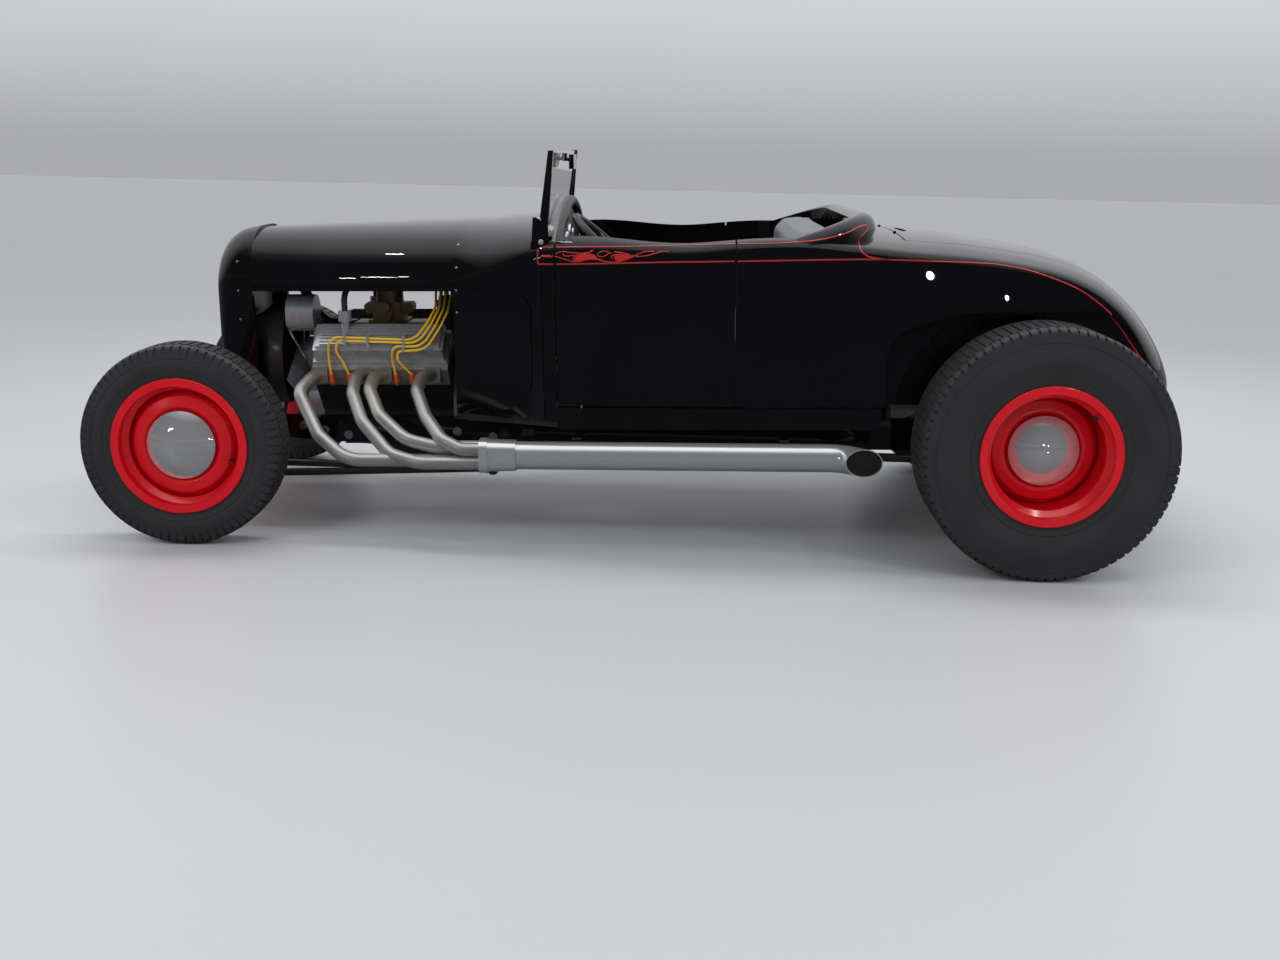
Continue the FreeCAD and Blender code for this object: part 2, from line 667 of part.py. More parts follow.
AXLE_SHAFT_R = 17.0
SHOCK_Y = 330.0
SHOCK_FOOT_X = REAR_X + 66
SHOCK_FOOT_Z = -62.0
SHOCK_EYE_R = 15.0
SHOCK_EYE_HALF = 18.0
OVER_AXLE_X = 1440.0
OVER_AXLE_Z = KICK_TOP - 40
OVER_AXLE_R = 22.0


def rear_axle():
    tubes = rod((REAR_X, -640, 0), (REAR_X, 640, 0), AXLE_TUBE_R)
    tip = REAR_WHEEL_Y + REAR_DISH_Y - 24
    shaft = rod((REAR_X, -tip, 0), (REAR_X, tip, 0), AXLE_SHAFT_R)
    case = Part.makeSphere(140, V(REAR_X, 0, 0)).common(box(REAR_X - 120, REAR_X + 125, -110, 110, -140, 140))
    nose = Part.makeCone(62, 42, 110, V(REAR_X - 115, 0, 0), V(-1, 0, 0))
    plates = [rod((REAR_X, s * 618, 0), (REAR_X, s * 630, 0), 128) for s in (1, -1)]
    ears = []
    for side in (1, -1):
        y0, y1 = sorted((side * (SHOCK_Y - SHOCK_EYE_HALF - SEAT_GAP), side * (SHOCK_Y - SHOCK_EYE_HALF - 10)))
        ears.append(prism_y([(REAR_X, 20), (REAR_X + 34, -36), (SHOCK_FOOT_X + 16, SHOCK_FOOT_Z + 12), (SHOCK_FOOT_X + 16, SHOCK_FOOT_Z - 14),
                             (SHOCK_FOOT_X - 14, SHOCK_FOOT_Z - 14), (REAR_X, -36)], y0, y1))
    return fuse([tubes, shaft, case, nose] + plates + ears)


# Rear suspension: a radius arm and a coil-over shock on each side
def coil_over():
    foot = V(SHOCK_FOOT_X, SHOCK_Y, SHOCK_FOOT_Z)
    head = V(OVER_AXLE_X, SHOCK_Y, OVER_AXLE_Z)
    length = (head - foot).Length
    rod_r, body_r, coil_r, plate_r = 14.0, 29.0, 37.0, 40.0
    first, last = 36.0, length - 48
    turns = 6
    pitch = (last - first) / turns
    profile = [(0, 0), (rod_r, 0), (rod_r, first - 8), (plate_r, first - 8), (plate_r, first), (body_r, first)]
    for i in range(turns):
        for r, share in ((body_r, 0.2), (coil_r, 0.35), (coil_r, 0.65), (body_r, 0.8)):
            profile.append((r, first + pitch * (i + share)))
    profile += [(body_r, last), (plate_r, last), (plate_r, last + 8), (rod_r, last + 8), (rod_r, length), (0, length)]
    outline = [V(r, 0, t) for r, t in profile]
    body = Part.Face(Part.makePolygon(outline + outline[:1])).revolve(V(0, 0, 0), V(0, 0, 1), 360)
    body.Placement = FreeCAD.Placement(foot, FreeCAD.Rotation(V(0, 0, 1), head - foot))
    half = V(0, SHOCK_EYE_HALF, 0)
    eyes = [rod(tuple(foot - half), tuple(foot + half), SHOCK_EYE_R), rod(tuple(head - half), tuple(head + half), OVER_AXLE_R + 9)]
    body = fuse([body] + eyes)
    return body.cut(rod((OVER_AXLE_X, 0, OVER_AXLE_Z), (OVER_AXLE_X, 600, OVER_AXLE_Z), OVER_AXLE_R + SEAT_GAP))


def rear_suspension():
    arm = tube([(REAR_X - 20, 478, 2), (1180, 478, -44), (1010, 476, -84), (720, 436, -84)], 14, [90, 120])
    arm = arm.cut(rod((REAR_X, 0, 0), (REAR_X, 600, 0), AXLE_TUBE_R + SEAT_GAP))
    end = rod((720, 416, -84), (720, 456, -84), 18)
    hanger = prism_y([(690, RAIL_LOW - SEAT_GAP), (750, RAIL_LOW - SEAT_GAP), (734, -86), (706, -86)], 405, 417)
    arm = fuse([arm, end, hanger])
    return Part.Compound([arm, mirrored(arm), coil_over(), mirrored(coil_over())])


# Wheels, drawn about the Y axis with the outer face toward +Y
def tyre(radius, width, rim_w):
    bead = rim_w / 2 - SEAT_GAP
    half = width / 2
    inner = BEAD_R + SEAT_GAP
    tread = half - 12
    middle = (inner + radius) / 2
    outline = [(inner, -bead), (FLANGE_R + 2, -bead), (middle, -half), (radius - 6, -tread), (radius, -tread + 26)]
    outline += [(r, -y) for r, y in reversed(outline)]
    fat = (radius - inner) * 0.42
    return turned(outline, [0, 0, fat, 14, 60, 60, 14, fat, 0, 0])


def rim(rim_w, dish_y):
    """Steel wheel: rolled flanges, a drop-centre barrel and a pressed disc."""
    half = rim_w / 2
    well = 20.0
    wall = 4.0
    outer = [(BEAD_R, -half), (FLANGE_R, -half), (FLANGE_R, -half - FLANGE_T), (BEAD_R - wall, -half - FLANGE_T),
             (BEAD_R - wall, -half + 24), (BEAD_R - well, -half + 40), (BEAD_R - well, half - 40), (BEAD_R - wall, half - 24),
             (BEAD_R - wall, half + FLANGE_T), (FLANGE_R, half + FLANGE_T), (FLANGE_R, half), (BEAD_R, half),
             (BEAD_R, half - 24), (BEAD_R - well + wall, half - 38), (BEAD_R - well + wall, -half + 38), (BEAD_R, -half + 24)]
    lip = FLANGE_T / 2 - 0.1
    ring = turned(outer, [0, lip, lip, 0, 0, 0, 0, 0, 0, lip, lip, 0, 0, 0, 0, 0])
    edge = BEAD_R - well + 1
    disc = [(30, dish_y - 6), (CAP_R - 14, dish_y - 6), (CAP_R + 14, dish_y + 12), (edge - 20, dish_y + 4),
            (edge, dish_y - 22), (edge, dish_y - 32), (edge - 22, dish_y - 6), (CAP_R + 12, dish_y + 4),
            (CAP_R - 10, dish_y - 13), (30, dish_y - 13)]
    return fuse([ring, turned(disc, [0, 10, 14, 10, 0, 0, 10, 12, 10, 0])])


def hub_cap(dish_y, dome):
    base = dish_y - 6 + SEAT_GAP
    rim_y = base + 26
    radius = (CAP_R ** 2 + dome ** 2) / (2 * dome)
    ball = Part.makeSphere(radius, V(0, rim_y + dome - radius, 0), V(0, 1, 0))
    cap = ball.common(rod((0, rim_y, 0), (0, rim_y + dome + 1, 0), CAP_R))
    skirt = rod((0, base, 0), (0, rim_y, 0), CAP_R - 24)
    lip = rod((0, rim_y - 4, 0), (0, rim_y, 0), CAP_R)
    return fuse([cap, skirt, lip])


SPINDLE_R = 17.0


def front_hub():
    """Hub and brake disc that turn with the front wheel."""
    back = FRONT_DISH_Y - 12
    hub = rod((0, -39, 0), (0, back, 0), 52)
    disc = rod((0, -36, 0), (0, -24, 0), 138)
    bore = rod((0, -80, 0), (0, back - 10, 0), SPINDLE_R + SEAT_GAP)
    return fuse([hub, disc]).cut(bore)


def rear_hub():
    """Brake drum that turns with the rear wheel."""
    back = REAR_DISH_Y - 12
    drum = rod((0, -116, 0), (0, back, 0), 134)
    drum = drum.cut(rod((0, -117, 0), (0, -106, 0), AXLE_TUBE_R + 6))
    return drum.cut(rod((0, -110, 0), (0, back - 8, 0), AXLE_SHAFT_R + SEAT_GAP))


def place_wheel(shape, x, y, right):
    out = shape if right else mirrored(shape)
    return moved(out, x, y if right else -y, 0)


def knuckle():
    """Right steering knuckle: yoke round the axle's boss, spindle and steering arm."""
    y = KINGPIN_Y
    top = rod((FRONT_X, y, 31), (FRONT_X, y, 52), 24)
    low = rod((FRONT_X, y, -52), (FRONT_X, y, -31), 24)
    back = box(FRONT_X - 22, FRONT_X + 22, y + 28, y + 44, -52, 52)
    top_arm = box(FRONT_X - 22, FRONT_X + 22, y, y + 40, 31, 52)
    low_arm = box(FRONT_X - 22, FRONT_X + 22, y, y + 40, -52, -31)
    tip = FRONT_WHEEL_Y + FRONT_DISH_Y - 26
    spindle = rod((FRONT_X, y + 40, 0), (FRONT_X, tip, 0), SPINDLE_R)
    x1 = FRONT_X + ARM_LEN
    arm = prism_z([(FRONT_X, y - 16), (x1, y - 13), (x1, y + 13), (FRONT_X, y + 16)], -52, -38)
    arm_end = rod((x1, y, -52), (x1, y, -38), 16)
    ball_pin = rod((x1, y, TIE_Z - 14), (x1, y, -45), 7)
    body = fuse([top, low, back, top_arm, low_arm, spindle, arm, arm_end, ball_pin])
    return body.cut(rod((FRONT_X, y, -60), (FRONT_X, y, 60), KINGPIN_R + SEAT_GAP))


def tie_rod():
    x = FRONT_X + ARM_LEN
    end = KINGPIN_Y - 12
    bar = rod((x, -end, TIE_Z), (x, end, TIE_Z), 11)
    body = fuse([bar] + [rod((x, s * KINGPIN_Y, TIE_Z - 14), (x, s * KINGPIN_Y, TIE_Z + 13), 17) for s in (1, -1)])
    for side in (1, -1):
        body = body.cut(rod((x, side * KINGPIN_Y, TIE_Z - 20), (x, side * KINGPIN_Y, TIE_Z + 20), 7 + SEAT_GAP))
    return body


# Steering wheel and column. The column points down and forward, square to the wheel.
COLUMN = V(-math.sin(COLUMN_TILT), 0, -math.cos(COLUMN_TILT))
HELM = V(HELM_X, HELM_Y, HELM_Z)
RIM_R = 13.0


def steering_wheel():
    ring = Part.makeTorus(HELM_R - RIM_R, RIM_R, HELM, COLUMN)
    hub = Part.makeCylinder(30, 40, HELM - COLUMN * 6, COLUMN)
    spokes = []
    side = V(0, 1, 0)
    up = COLUMN.cross(side)
    for k in range(3):
        a = math.radians(90 + 120 * k)
        spokes.append(Part.makeCylinder(7, HELM_R - RIM_R - 4, HELM, side * math.cos(a) + up * math.sin(a)))
    return fuse([ring, hub] + spokes)


def steering_column():
    start = HELM + COLUMN * (34 + SEAT_GAP)
    jacket_len = 330.0
    jacket = Part.makeCylinder(24, jacket_len, start, COLUMN)
    reach = (start.z - FLOOR_TOP) / math.cos(COLUMN_TILT) + 20
    shaft = Part.makeCylinder(11, reach, start, COLUMN)
    root = start + COLUMN * 60
    tip = root + V(-58, -100, 62)
    lever = rod(tuple(root), tuple(tip), 5)
    knob = Part.makeSphere(11, tip)
    face = DASH_X + DASH_T + SEAT_GAP
    bracket = box(face, face + 11, HELM_Y - 26, HELM_Y + 26, DASH_LOW - 85, DASH_LOW + 45)
    body = fuse([jacket, shaft, lever, knob, bracket])
    return body.cut(box(-600, 0, -400, -200, -100, FLOOR_TOP + SEAT_GAP))


# Engine: a vee of two banks
def bank_prism(x0, x1, across0, across1, up0, up1, side):
    """A block in one bank's own axes: up along the cylinders, across toward the exhaust side."""
    s, c = math.sin(BANK), math.cos(BANK)
    points = []
    for a, u in ((across0, up0), (across1, up0), (across1, up1), (across0, up1)):
        points.append((side * (u * s + a * c), CRANK_Z + u * c - a * s))
    return prism_x(points, x0, x1)


DECK_UP = 215.0
HEAD_UP = 300.0
COVER_UP = 378.0
VALLEY_Z = CRANK_Z + 212
VALLEY_HALF = 91.0
PORTS_X = (-975.0, -825.0, -760.0, -598.0)
PORT_Y = 277.0
PORT_Z = 157.0


def engine_block():
    parts = [box(ENGINE_FRONT_X, ENGINE_REAR_X, -110, 110, CRANK_Z - 70, CRANK_Z + 110)]
    for side in (1, -1):
        parts.append(bank_prism(ENGINE_FRONT_X, ENGINE_REAR_X, -85, 85, 60, DECK_UP, side))
    parts.append(box(ENGINE_FRONT_X + 30, ENGINE_REAR_X - 10, -120, 120, CRANK_Z - 100, CRANK_Z - 60))
    sump = [(-940, CRANK_Z - 99), (-560, CRANK_Z - 99), (-560, CRANK_Z - 190), (-740, CRANK_Z - 190),
            (-800, CRANK_Z - 130), (-940, CRANK_Z - 130)]
    parts.append(prism_y(sump, -100, 100))
    parts.append(box(ENGINE_FRONT_X, ENGINE_REAR_X, -VALLEY_HALF, VALLEY_HALF, CRANK_Z + 100, VALLEY_Z))
    mount_x = -880.0
    reach = rail_outer_y(mount_x - 30) - RAIL_T - SEAT_GAP
    parts.append(box(mount_x - 30, mount_x + 30, -reach, reach, CRANK_Z - 60, CRANK_Z - 30))
    return fuse(parts)


def cylinder_heads():
    heads = []
    for side in (1, -1):
        parts = [bank_prism(ENGINE_FRONT_X + 4, ENGINE_REAR_X - 4, -84, 84, DECK_UP + SEAT_GAP, HEAD_UP, side)]
        for x in PORTS_X:
            y0, y1 = sorted((side * 200, side * PORT_Y))
            parts.append(box(x - 26, x + 26, y0, y1, PORT_Z - 26, PORT_Z + 24))
        heads.append(fuse(parts))
    return Part.Compound(heads)


# Spark plug leads: two long and two short ones a side, held in three clips along the valve cover
LEAD_R = 4.0
BOOT_R = 8.0
LOOM_Y = 316.0
PLUG_UP = 250.0
PLUG_X = (-938.0, -878.0, -722.0, -668.0)
BOOT_TOP_Y = 276.0
BOOT_TOP_Z = 160.0
CLIP_X = (-878.0, -802.0, -684.0)
CAP_TOP_Z = VALLEY_Z + 145
TOWER_H = 15.0
TOWER_R = 7.5
TOWER_RING = 34.0
DISTRIBUTOR_X = -574.0


def soft_bends(points, largest):
    """The largest radii that two neighbouring runs leave room for, up to a limit."""
    pts = [V(*p) for p in points]
    radii = []
    for before, at, after in zip(pts, pts[1:], pts[2:]):
        turn = (at - before).getAngle(after - at)
        shorter = min((at - before).Length, (after - at).Length)
        radii.append(min(largest, 0.45 * shorter / math.tan(turn / 2)))
    return radii


def towers():
    """Where the right bank's four leads enter the distributor cap."""
    angles = [math.radians(157.5 - 45 * k) for k in range(4)]
    return [(DISTRIBUTOR_X + TOWER_RING * math.cos(a), TOWER_RING * math.sin(a)) for a in angles]


def lead_routes():
    """Right bank, front plug first: out of the boot, through the clips, up and over to the distributor."""
    y = LOOM_Y
    fronts = [
        [(-940, 290, 212), (-934, 314, 264), (-912, y, 287), (-648, y, 277)],
        [(-896, 288, 205), (-912, 308, 240), (-903, y, 275), (-636, y, 267)],
        [(-728, 292, 210), (-724, 312, 242), (-708, y, 257), (-624, y, 255)],
        [(-692, 288, 184), (-709, 310, 212), (-704, y, 240), (-612, y, 245)],
    ]
    backs = [
        [(-602, 298, 338), (-583, 262, 380), (-598, 150, 436)],
        [(-590, 298, 334), (-570, 262, 380), (-580, 150, 450)],
        [(-578, 298, 325), (-557, 262, 374), (-560, 150, 450)],
        [(-564, 298, 318), (-543, 262, 366), (-541, 150, 436)],
    ]
    routes = []
    for plug, front, back, (tx, ty) in zip(PLUG_X, fronts, backs, towers()):
        start = (plug, BOOT_TOP_Y, BOOT_TOP_Z - 3)
        over = CAP_TOP_Z + TOWER_H + SEAT_GAP
        routes.append([start] + front + back + [(tx, ty + 28, over + 46), (tx, ty, over + 30), (tx, ty, over)])
    return routes


def plug_boot(x):
    """Bent rubber boot from the plug in the head's face to where its lead comes out."""
    s, c = math.sin(BANK), math.cos(BANK)
    face = 84 + SEAT_GAP
    y, z = PLUG_UP * s + face * c, CRANK_Z + PLUG_UP * c - face * s
    return tube([(x, y, z), (x, y + 24, z - 24), (x, BOOT_TOP_Y, BOOT_TOP_Z)], BOOT_R, [13])


def plug_leads():
    leads = []
    for x, points in zip(PLUG_X, lead_routes()):
        leads.append(tube(points, LEAD_R, soft_bends(points, 60.0)).cut(plug_boot(x)))
    return Part.Compound(leads + [mirrored(lead) for lead in leads])


def plug_boots():
    boots = [plug_boot(x) for x in PLUG_X]
    return Part.Compound(boots + [mirrored(boot) for boot in boots])


BREATHER_X = -886.0
BREATHER_Y = 262.0
BREATHER_TOP = 368.0


def valve_covers():
    """Finned covers, each with a breather cap and the clips that hold the leads."""
    low = HEAD_UP + SEAT_GAP
    front, rear = ENGINE_FRONT_X + 14, ENGINE_REAR_X - 16
    parts = [bank_prism(front - 8, rear + 8, -62, 62, low, low + 12, 1),
             bank_prism(front, rear, -54, 54, low + 12, COVER_UP - 12, 1),
             bank_prism(front + 10, rear - 10, -46, 46, low + 12, COVER_UP, 1)]
    for i in range(-3, 4):
        parts.append(bank_prism(front + 24, rear - 24, i * 13 - 3, i * 13 + 3, COVER_UP - 2, COVER_UP + 7, 1))
    parts.append(rod((BREATHER_X, BREATHER_Y, 280), (BREATHER_X, BREATHER_Y, 334), 13))
    parts.append(rod((BREATHER_X, BREATHER_Y, 334), (BREATHER_X, BREATHER_Y, BREATHER_TOP), 22))
    for x, z0 in zip(CLIP_X, (262, 256, 238)):
        parts.append(box(x - 4, x + 4, 276, LOOM_Y + 8, z0, z0 + (34 if z0 > 250 else 54)))
    cover = fuse(parts)
    for points in lead_routes():
        cover = cover.cut(rod(points[3], points[4], LEAD_R + SEAT_GAP))
    return both(cover)


CARB_X = -784.0
CLEANER_Z = VALLEY_Z + 198
THERMOSTAT_X = -925.0
THERMOSTAT_Z = VALLEY_Z + 66
THERMOSTAT_OUT = 40.0
CLEANER_R = 132.0


def intake():
    """Twin-plane manifold with a four-barrel carburettor and a round air cleaner."""
    plenum = box(-900, -650, -60, 60, VALLEY_Z + SEAT_GAP, VALLEY_Z + 74)
    runners = []
    for x in (-930, -850, -700, -620):
        runners.append(rod((x, -128, VALLEY_Z + 26), (x, 128, VALLEY_Z + 26), 19))
    spine = box(-950, -600, -40, 40, VALLEY_Z + SEAT_GAP, VALLEY_Z + 44)
    foot = VALLEY_Z + 70
    carb = [box(CARB_X - 66, CARB_X + 66, -58, 58, foot, foot + 12),
            box(CARB_X - 52, CARB_X + 52, -50, 50, foot + 12, foot + 40),
            box(CARB_X - 42, CARB_X + 42, -44, 44, foot + 40, foot + 72)]
    for end in (-1, 1):
        bowl = [(42, 30), (76, 34), (84, 46), (84, 62), (74, 70), (42, 68)]
        carb.append(prism_y([(CARB_X + end * x, foot + z) for x, z in bowl], -38, 38))
        carb.append(rod((CARB_X - 10, end * 44, foot + 56), (CARB_X - 10, end * 64, foot + 56), 19))
        carb.append(prism_y([(CARB_X - 8, foot + 6), (CARB_X + 8, foot + 6), (CARB_X + 20, foot + 44), (CARB_X + 10, foot + 44)],
                            *sorted((end * 62, end * 66))))
    carb.append(rod((CARB_X, -66, foot + 20), (CARB_X, 66, foot + 20), 5))
    carb.append(rod((CARB_X, 0, foot + 72), (CARB_X, 0, CLEANER_Z), 46))
    cleaner = [rod((CARB_X, 0, CLEANER_Z), (CARB_X, 0, CLEANER_Z + 8), CLEANER_R),
               rod((CARB_X, 0, CLEANER_Z + 8), (CARB_X, 0, CLEANER_Z + 56), CLEANER_R - 14),
               rod((CARB_X, 0, CLEANER_Z + 56), (CARB_X, 0, CLEANER_Z + 64), CLEANER_R),
               rod((CARB_X, 0, CLEANER_Z + 64), (CARB_X, 0, CLEANER_Z + 78), 9)]
    housing = [rod((THERMOSTAT_X, 0, VALLEY_Z + 40), (THERMOSTAT_X, 0, THERMOSTAT_Z + 12), 24),
               rod((THERMOSTAT_X, 0, THERMOSTAT_Z), (THERMOSTAT_X - THERMOSTAT_OUT, 0, THERMOSTAT_Z), 19)]
    body = fuse([plenum, spine] + runners + carb + cleaner + housing)
    for side in (1, -1):
        face = -84 - SEAT_GAP
        body = body.cut(bank_prism(ENGINE_FRONT_X, ENGINE_REAR_X, face, 84, DECK_UP - 60, HEAD_UP + 1, side))
    return body


def hoses():
    """Upper radiator hose and the two breather hoses that lead up to the air cleaner."""
    back = RADIATOR_X + RADIATOR_T + SEAT_GAP
    mouth = THERMOSTAT_X - THERMOSTAT_OUT - SEAT_GAP
    upper = [(back, 0, OUTLET_Z), (back + 76, 0, OUTLET_Z), (back + 146, 0, OUTLET_Z - 50), (mouth - 75, 0, THERMOSTAT_Z + 32),
             (mouth - 35, 0, THERMOSTAT_Z), (mouth, 0, THERMOSTAT_Z)]
    upper = tube(upper, 17, soft_bends(upper, 90.0))
    y = BREATHER_Y
    top = BREATHER_TOP + SEAT_GAP
    breather = [(BREATHER_X, y, top), (BREATHER_X, y, top + 52), (-872, 186, CLEANER_Z + 34), (CARB_X - 62, 104, CLEANER_Z + 32)]
    breather = tube(breather, 10, soft_bends(breather, 60.0))
    clear = rod((CARB_X, 0, CLEANER_Z), (CARB_X, 0, CLEANER_Z + 60), CLEANER_R - 14 + SEAT_GAP)
    breather = breather.cut(clear)
    return Part.Compound([upper, breather, mirrored(breather)])


def distributor():
    """Body, cap and the eight towers that the leads plug into."""
    x = DISTRIBUTOR_X
    parts = [rod((x, 0, VALLEY_Z + SEAT_GAP), (x, 0, VALLEY_Z + 90), 24),
             rod((x, 0, VALLEY_Z + 90), (x, 0, CAP_TOP_Z), 48)]
    for tx, ty in towers():
        for side in (1, -1):
            parts.append(rod((tx, side * ty, CAP_TOP_Z), (tx, side * ty, CAP_TOP_Z + TOWER_H), TOWER_R))
    return fuse(parts)


def belt_drive():
    back = ENGINE_FRONT_X - SEAT_GAP
    cover = box(back - 14, back, -100, 100, CRANK_Z - 60, CRANK_Z + 170)
    crank = rod((back - 62, 0, CRANK_Z), (back, 0, CRANK_Z), 82)
    pump_z = CRANK_Z + 175
    pump = rod((back - 62, 0, pump_z), (back, 0, pump_z), 60)
    alternator = rod((back - 92, -150, CRANK_Z + 330), (back, -150, CRANK_Z + 330), 62)
    mount = box(back - 12, back, -160, -60, CRANK_Z + 150, CRANK_Z + 300)
    parts = [cover, crank, pump, alternator, mount]
    x = back - 92
    parts.append(rod((x - 12, 0, pump_z), (back - 60, 0, pump_z), 30))
    for k in range(6):
        blade = box(x - 2, x + 2, -32, 32, 20, 190)
        blade.rotate(V(x, 0, 0), V(0, 0, 1), 28)
        blade.rotate(V(x, 0, 0), V(1, 0, 0), 60 * k)
        parts.append(moved(blade, 0, 0, pump_z))
    return fuse(parts)


def gearbox():
    bell = Part.makeCone(190, 122, 148, V(ENGINE_REAR_X + SEAT_GAP, 0, CRANK_Z), V(1, 0, 0))
    case = rod((ENGINE_REAR_X + 140, 0, CRANK_Z), (-60, 0, CRANK_Z), 92)
    tail = Part.makeCone(92, 50, 190, V(-60, 0, CRANK_Z), V(1, 0, 0))
    nose_x = REAR_X - 225 - SEAT_GAP
    shaft = rod((120, 0, CRANK_Z), (nose_x, 0, 0), 38)
    body = fuse([bell, case, tail, shaft])
    return body.cut(box(nose_x, nose_x + 60, -100, 100, -100, 100))


# Exhaust: four tubes a side, a collector, a long side pipe and a turned-out tip
TUBE_R = 21.0
PIPE_R = 44.0
PIPE_Y = 620.0
PIPE_Z = -46.0
COLLECTOR_X = -400.0
TIP_X = 770.0


def header_routes():
    y0 = PORT_Y - 6
    high, low = PIPE_Z + 21.5, PIPE_Z - 21.5
    near, far = PIPE_Y - 21.5, PIPE_Y + 21.5
    ports = [(x, y0, PORT_Z) for x in PORTS_X]
    first = [ports[0], (-985, 350, 158), (-1012, 425, 122), (-928, 530, 0), (-825, near, low), (COLLECTOR_X, near, low)]
    second = [ports[1], (-838, 352, 158), (-836, 425, 118), (-790, 510, 40), (-690, 590, -50), (-590, far, low), (COLLECTOR_X, far, low)]
    third = [ports[2], (-780, 345, 158), (-782, 415, 128), (-735, 505, 60), (-640, 580, -5), (-540, near, high), (COLLECTOR_X, near, high)]
    fourth = [ports[3], (-622, 352, 158), (-626, 430, 128), (-585, 520, 60), (-520, 610, 0), (-455, far, high), (COLLECTOR_X, far, high)]
    return [
        (first, [50, 60, 90, 130]),
        (second, [50, 60, 90, 120, 120]),
        (third, [44, 50, 90, 120, 120]),
        (fourth, [48, 50, 80, 60, 50]),
    ]


def rounded_square(x, side, r):
    half = side / 2
    outline = [(x, PIPE_Y - half, PIPE_Z - half), (x, PIPE_Y + half, PIPE_Z - half), (x, PIPE_Y + half, PIPE_Z + half),
               (x, PIPE_Y - half, PIPE_Z + half)]
    return rounded_wire(outline, [r] * 4, closed=True)


def headers():
    """Four bent tubes a side, each with its own flange on the port."""
    face = PORT_Y + SEAT_GAP
    inside = box(ENGINE_FRONT_X - 50, ENGINE_REAR_X + 50, 0, face, PORT_Z - 60, PORT_Z + 60)
    pipes = []
    for points, bends in header_routes():
        x, half = points[0][0], 26
        corners = [(x - half, face, PORT_Z - 28), (x + half, face, PORT_Z - 28), (x + half, face, PORT_Z + 26), (x - half, face, PORT_Z + 26)]
        flange = Part.Face(rounded_wire(corners, [12] * 4, closed=True)).extrude(V(0, 9, 0))
        pipes.append(fuse([tube(points, TUBE_R, bends).cut(inside), flange]))
    return Part.Compound(pipes + [mirrored(pipe) for pipe in pipes])


def side_pipes():
    """A square-shouldered collector with its ring, the long pipe and its turned-out tip, hung from the frame."""
    start = COLLECTOR_X + SEAT_GAP
    ring_end, cone_end = start + 26, start + 114
    ring = Part.Face(rounded_square(start, 104, 34)).extrude(V(26, 0, 0))
    cone = Part.makeLoft([rounded_square(ring_end, 98, 36), rounded_square(cone_end, PIPE_R * 2 + 6, PIPE_R - 8)], True, True)
    pipe = tube([(cone_end - 30, PIPE_Y, PIPE_Z), (TIP_X - 40, PIPE_Y, PIPE_Z - 8), (TIP_X + 60, PIPE_Y + 120, PIPE_Z - 10)], PIPE_R, [110])
    pipe = pipe.cut(box(0, 1200, PIPE_Y + 70, 1000, -300, 200))
    hangers = [box(x - 15, x + 15, rail_outer_y(x + 15) + SEAT_GAP, PIPE_Y, PIPE_Z - 4, PIPE_Z + 4) for x in (-120, 560)]
    return both(fuse([ring, cone, pipe] + hangers))


# Cockpit
SEAT_FRONT_X = 160.0
SEAT_REAR_X = 690.0
SEAT_HALF = 518.0
SEAT_INSET = 36.0
SEAT_BASE_Z = 110.0
DASH_X = COCKPIT_FRONT_X + SEAT_GAP
DASH_T = 14.0
DASH_LOW = 470.0
DASH_HALF = 524.0
HOOP_R = 18.0
HOOP_TOP = 716.0
HOOP_SIDE = 592.0


SILL_IN_Y = 540.0
SILL_OUT_Y = 590.0


def floor_pan():
    """A flat pan on each side of the tunnel, and the trunk floor over the kick-up."""
    low = RAIL_TOP + SEAT_GAP
    rear = BULKHEAD_X - BULKHEAD_T - 1
    edge = SILL_IN_Y - SEAT_GAP
    pan = [(COWL_FRONT_X, 400), (DOOR_FRONT_X - SEAT_GAP, 550), (DOOR_FRONT_X - SEAT_GAP, edge), (rear, edge)]
    pan = prism_z(pan + [(x, -y) for x, y in reversed(pan)], low, FLOOR_TOP)
    body = pan.cut(tunnel(TUNNEL_T + SEAT_GAP))
    shelf_z = KICK_TOP + SEAT_GAP
    half_plan = [(BULKHEAD_X + 1, 528), (1600, 500), (1700, 440)]
    trunk = prism_z(half_plan + [(x, -y) for x, y in reversed(half_plan)], shelf_z, shelf_z + 14)
    return Part.Compound(body.Solids + [trunk])


def seat_riser():
    """The box under the seat, and the step behind it that rises to the trunk floor."""
    low = FLOOR_TOP + SEAT_GAP
    rear = BULKHEAD_X - BULKHEAD_T - 1
    riser = box(SEAT_FRONT_X + 20, SEAT_REAR_X - 10, -SEAT_HALF + 20, SEAT_HALF - 20, low, SEAT_BASE_Z)
    step = box(rear - 13, rear, -528, 528, low, KICK_TOP + 100)
    room = tunnel(TUNNEL_T + SEAT_GAP)
    return Part.Compound(riser.cut(room).Solids + step.cut(room).Solids)


def sills():
    """Box sections under the doors, with a pad at each body mount."""
    low = RAIL_TOP + SEAT_GAP
    sill = box(DOOR_FRONT_X, 850, SILL_IN_Y, SILL_OUT_Y, low, DOOR_LOW - DOOR_GAP - 3)
    pads = [box(x, x + 60, SILL_IN_Y, SILL_OUT_Y, DOOR_LOW - DOOR_GAP - 4, REAR_LOW - SEAT_GAP) for x in (430, 760)]
    return both(fuse([sill] + pads))


def gearbox_tunnel():
    """Arched cover over the gearbox and the driveshaft."""
    room = box(COWL_FRONT_X, BULKHEAD_X - BULKHEAD_T - 1, -300, 300, RAIL_TOP + SEAT_GAP, 300)
    return tunnel(TUNNEL_T).common(room).cut(tunnel(0))


def cushion_top(x):
    """The cushion slopes back."""
    return 325.0 - (x - 200.0) * 0.08


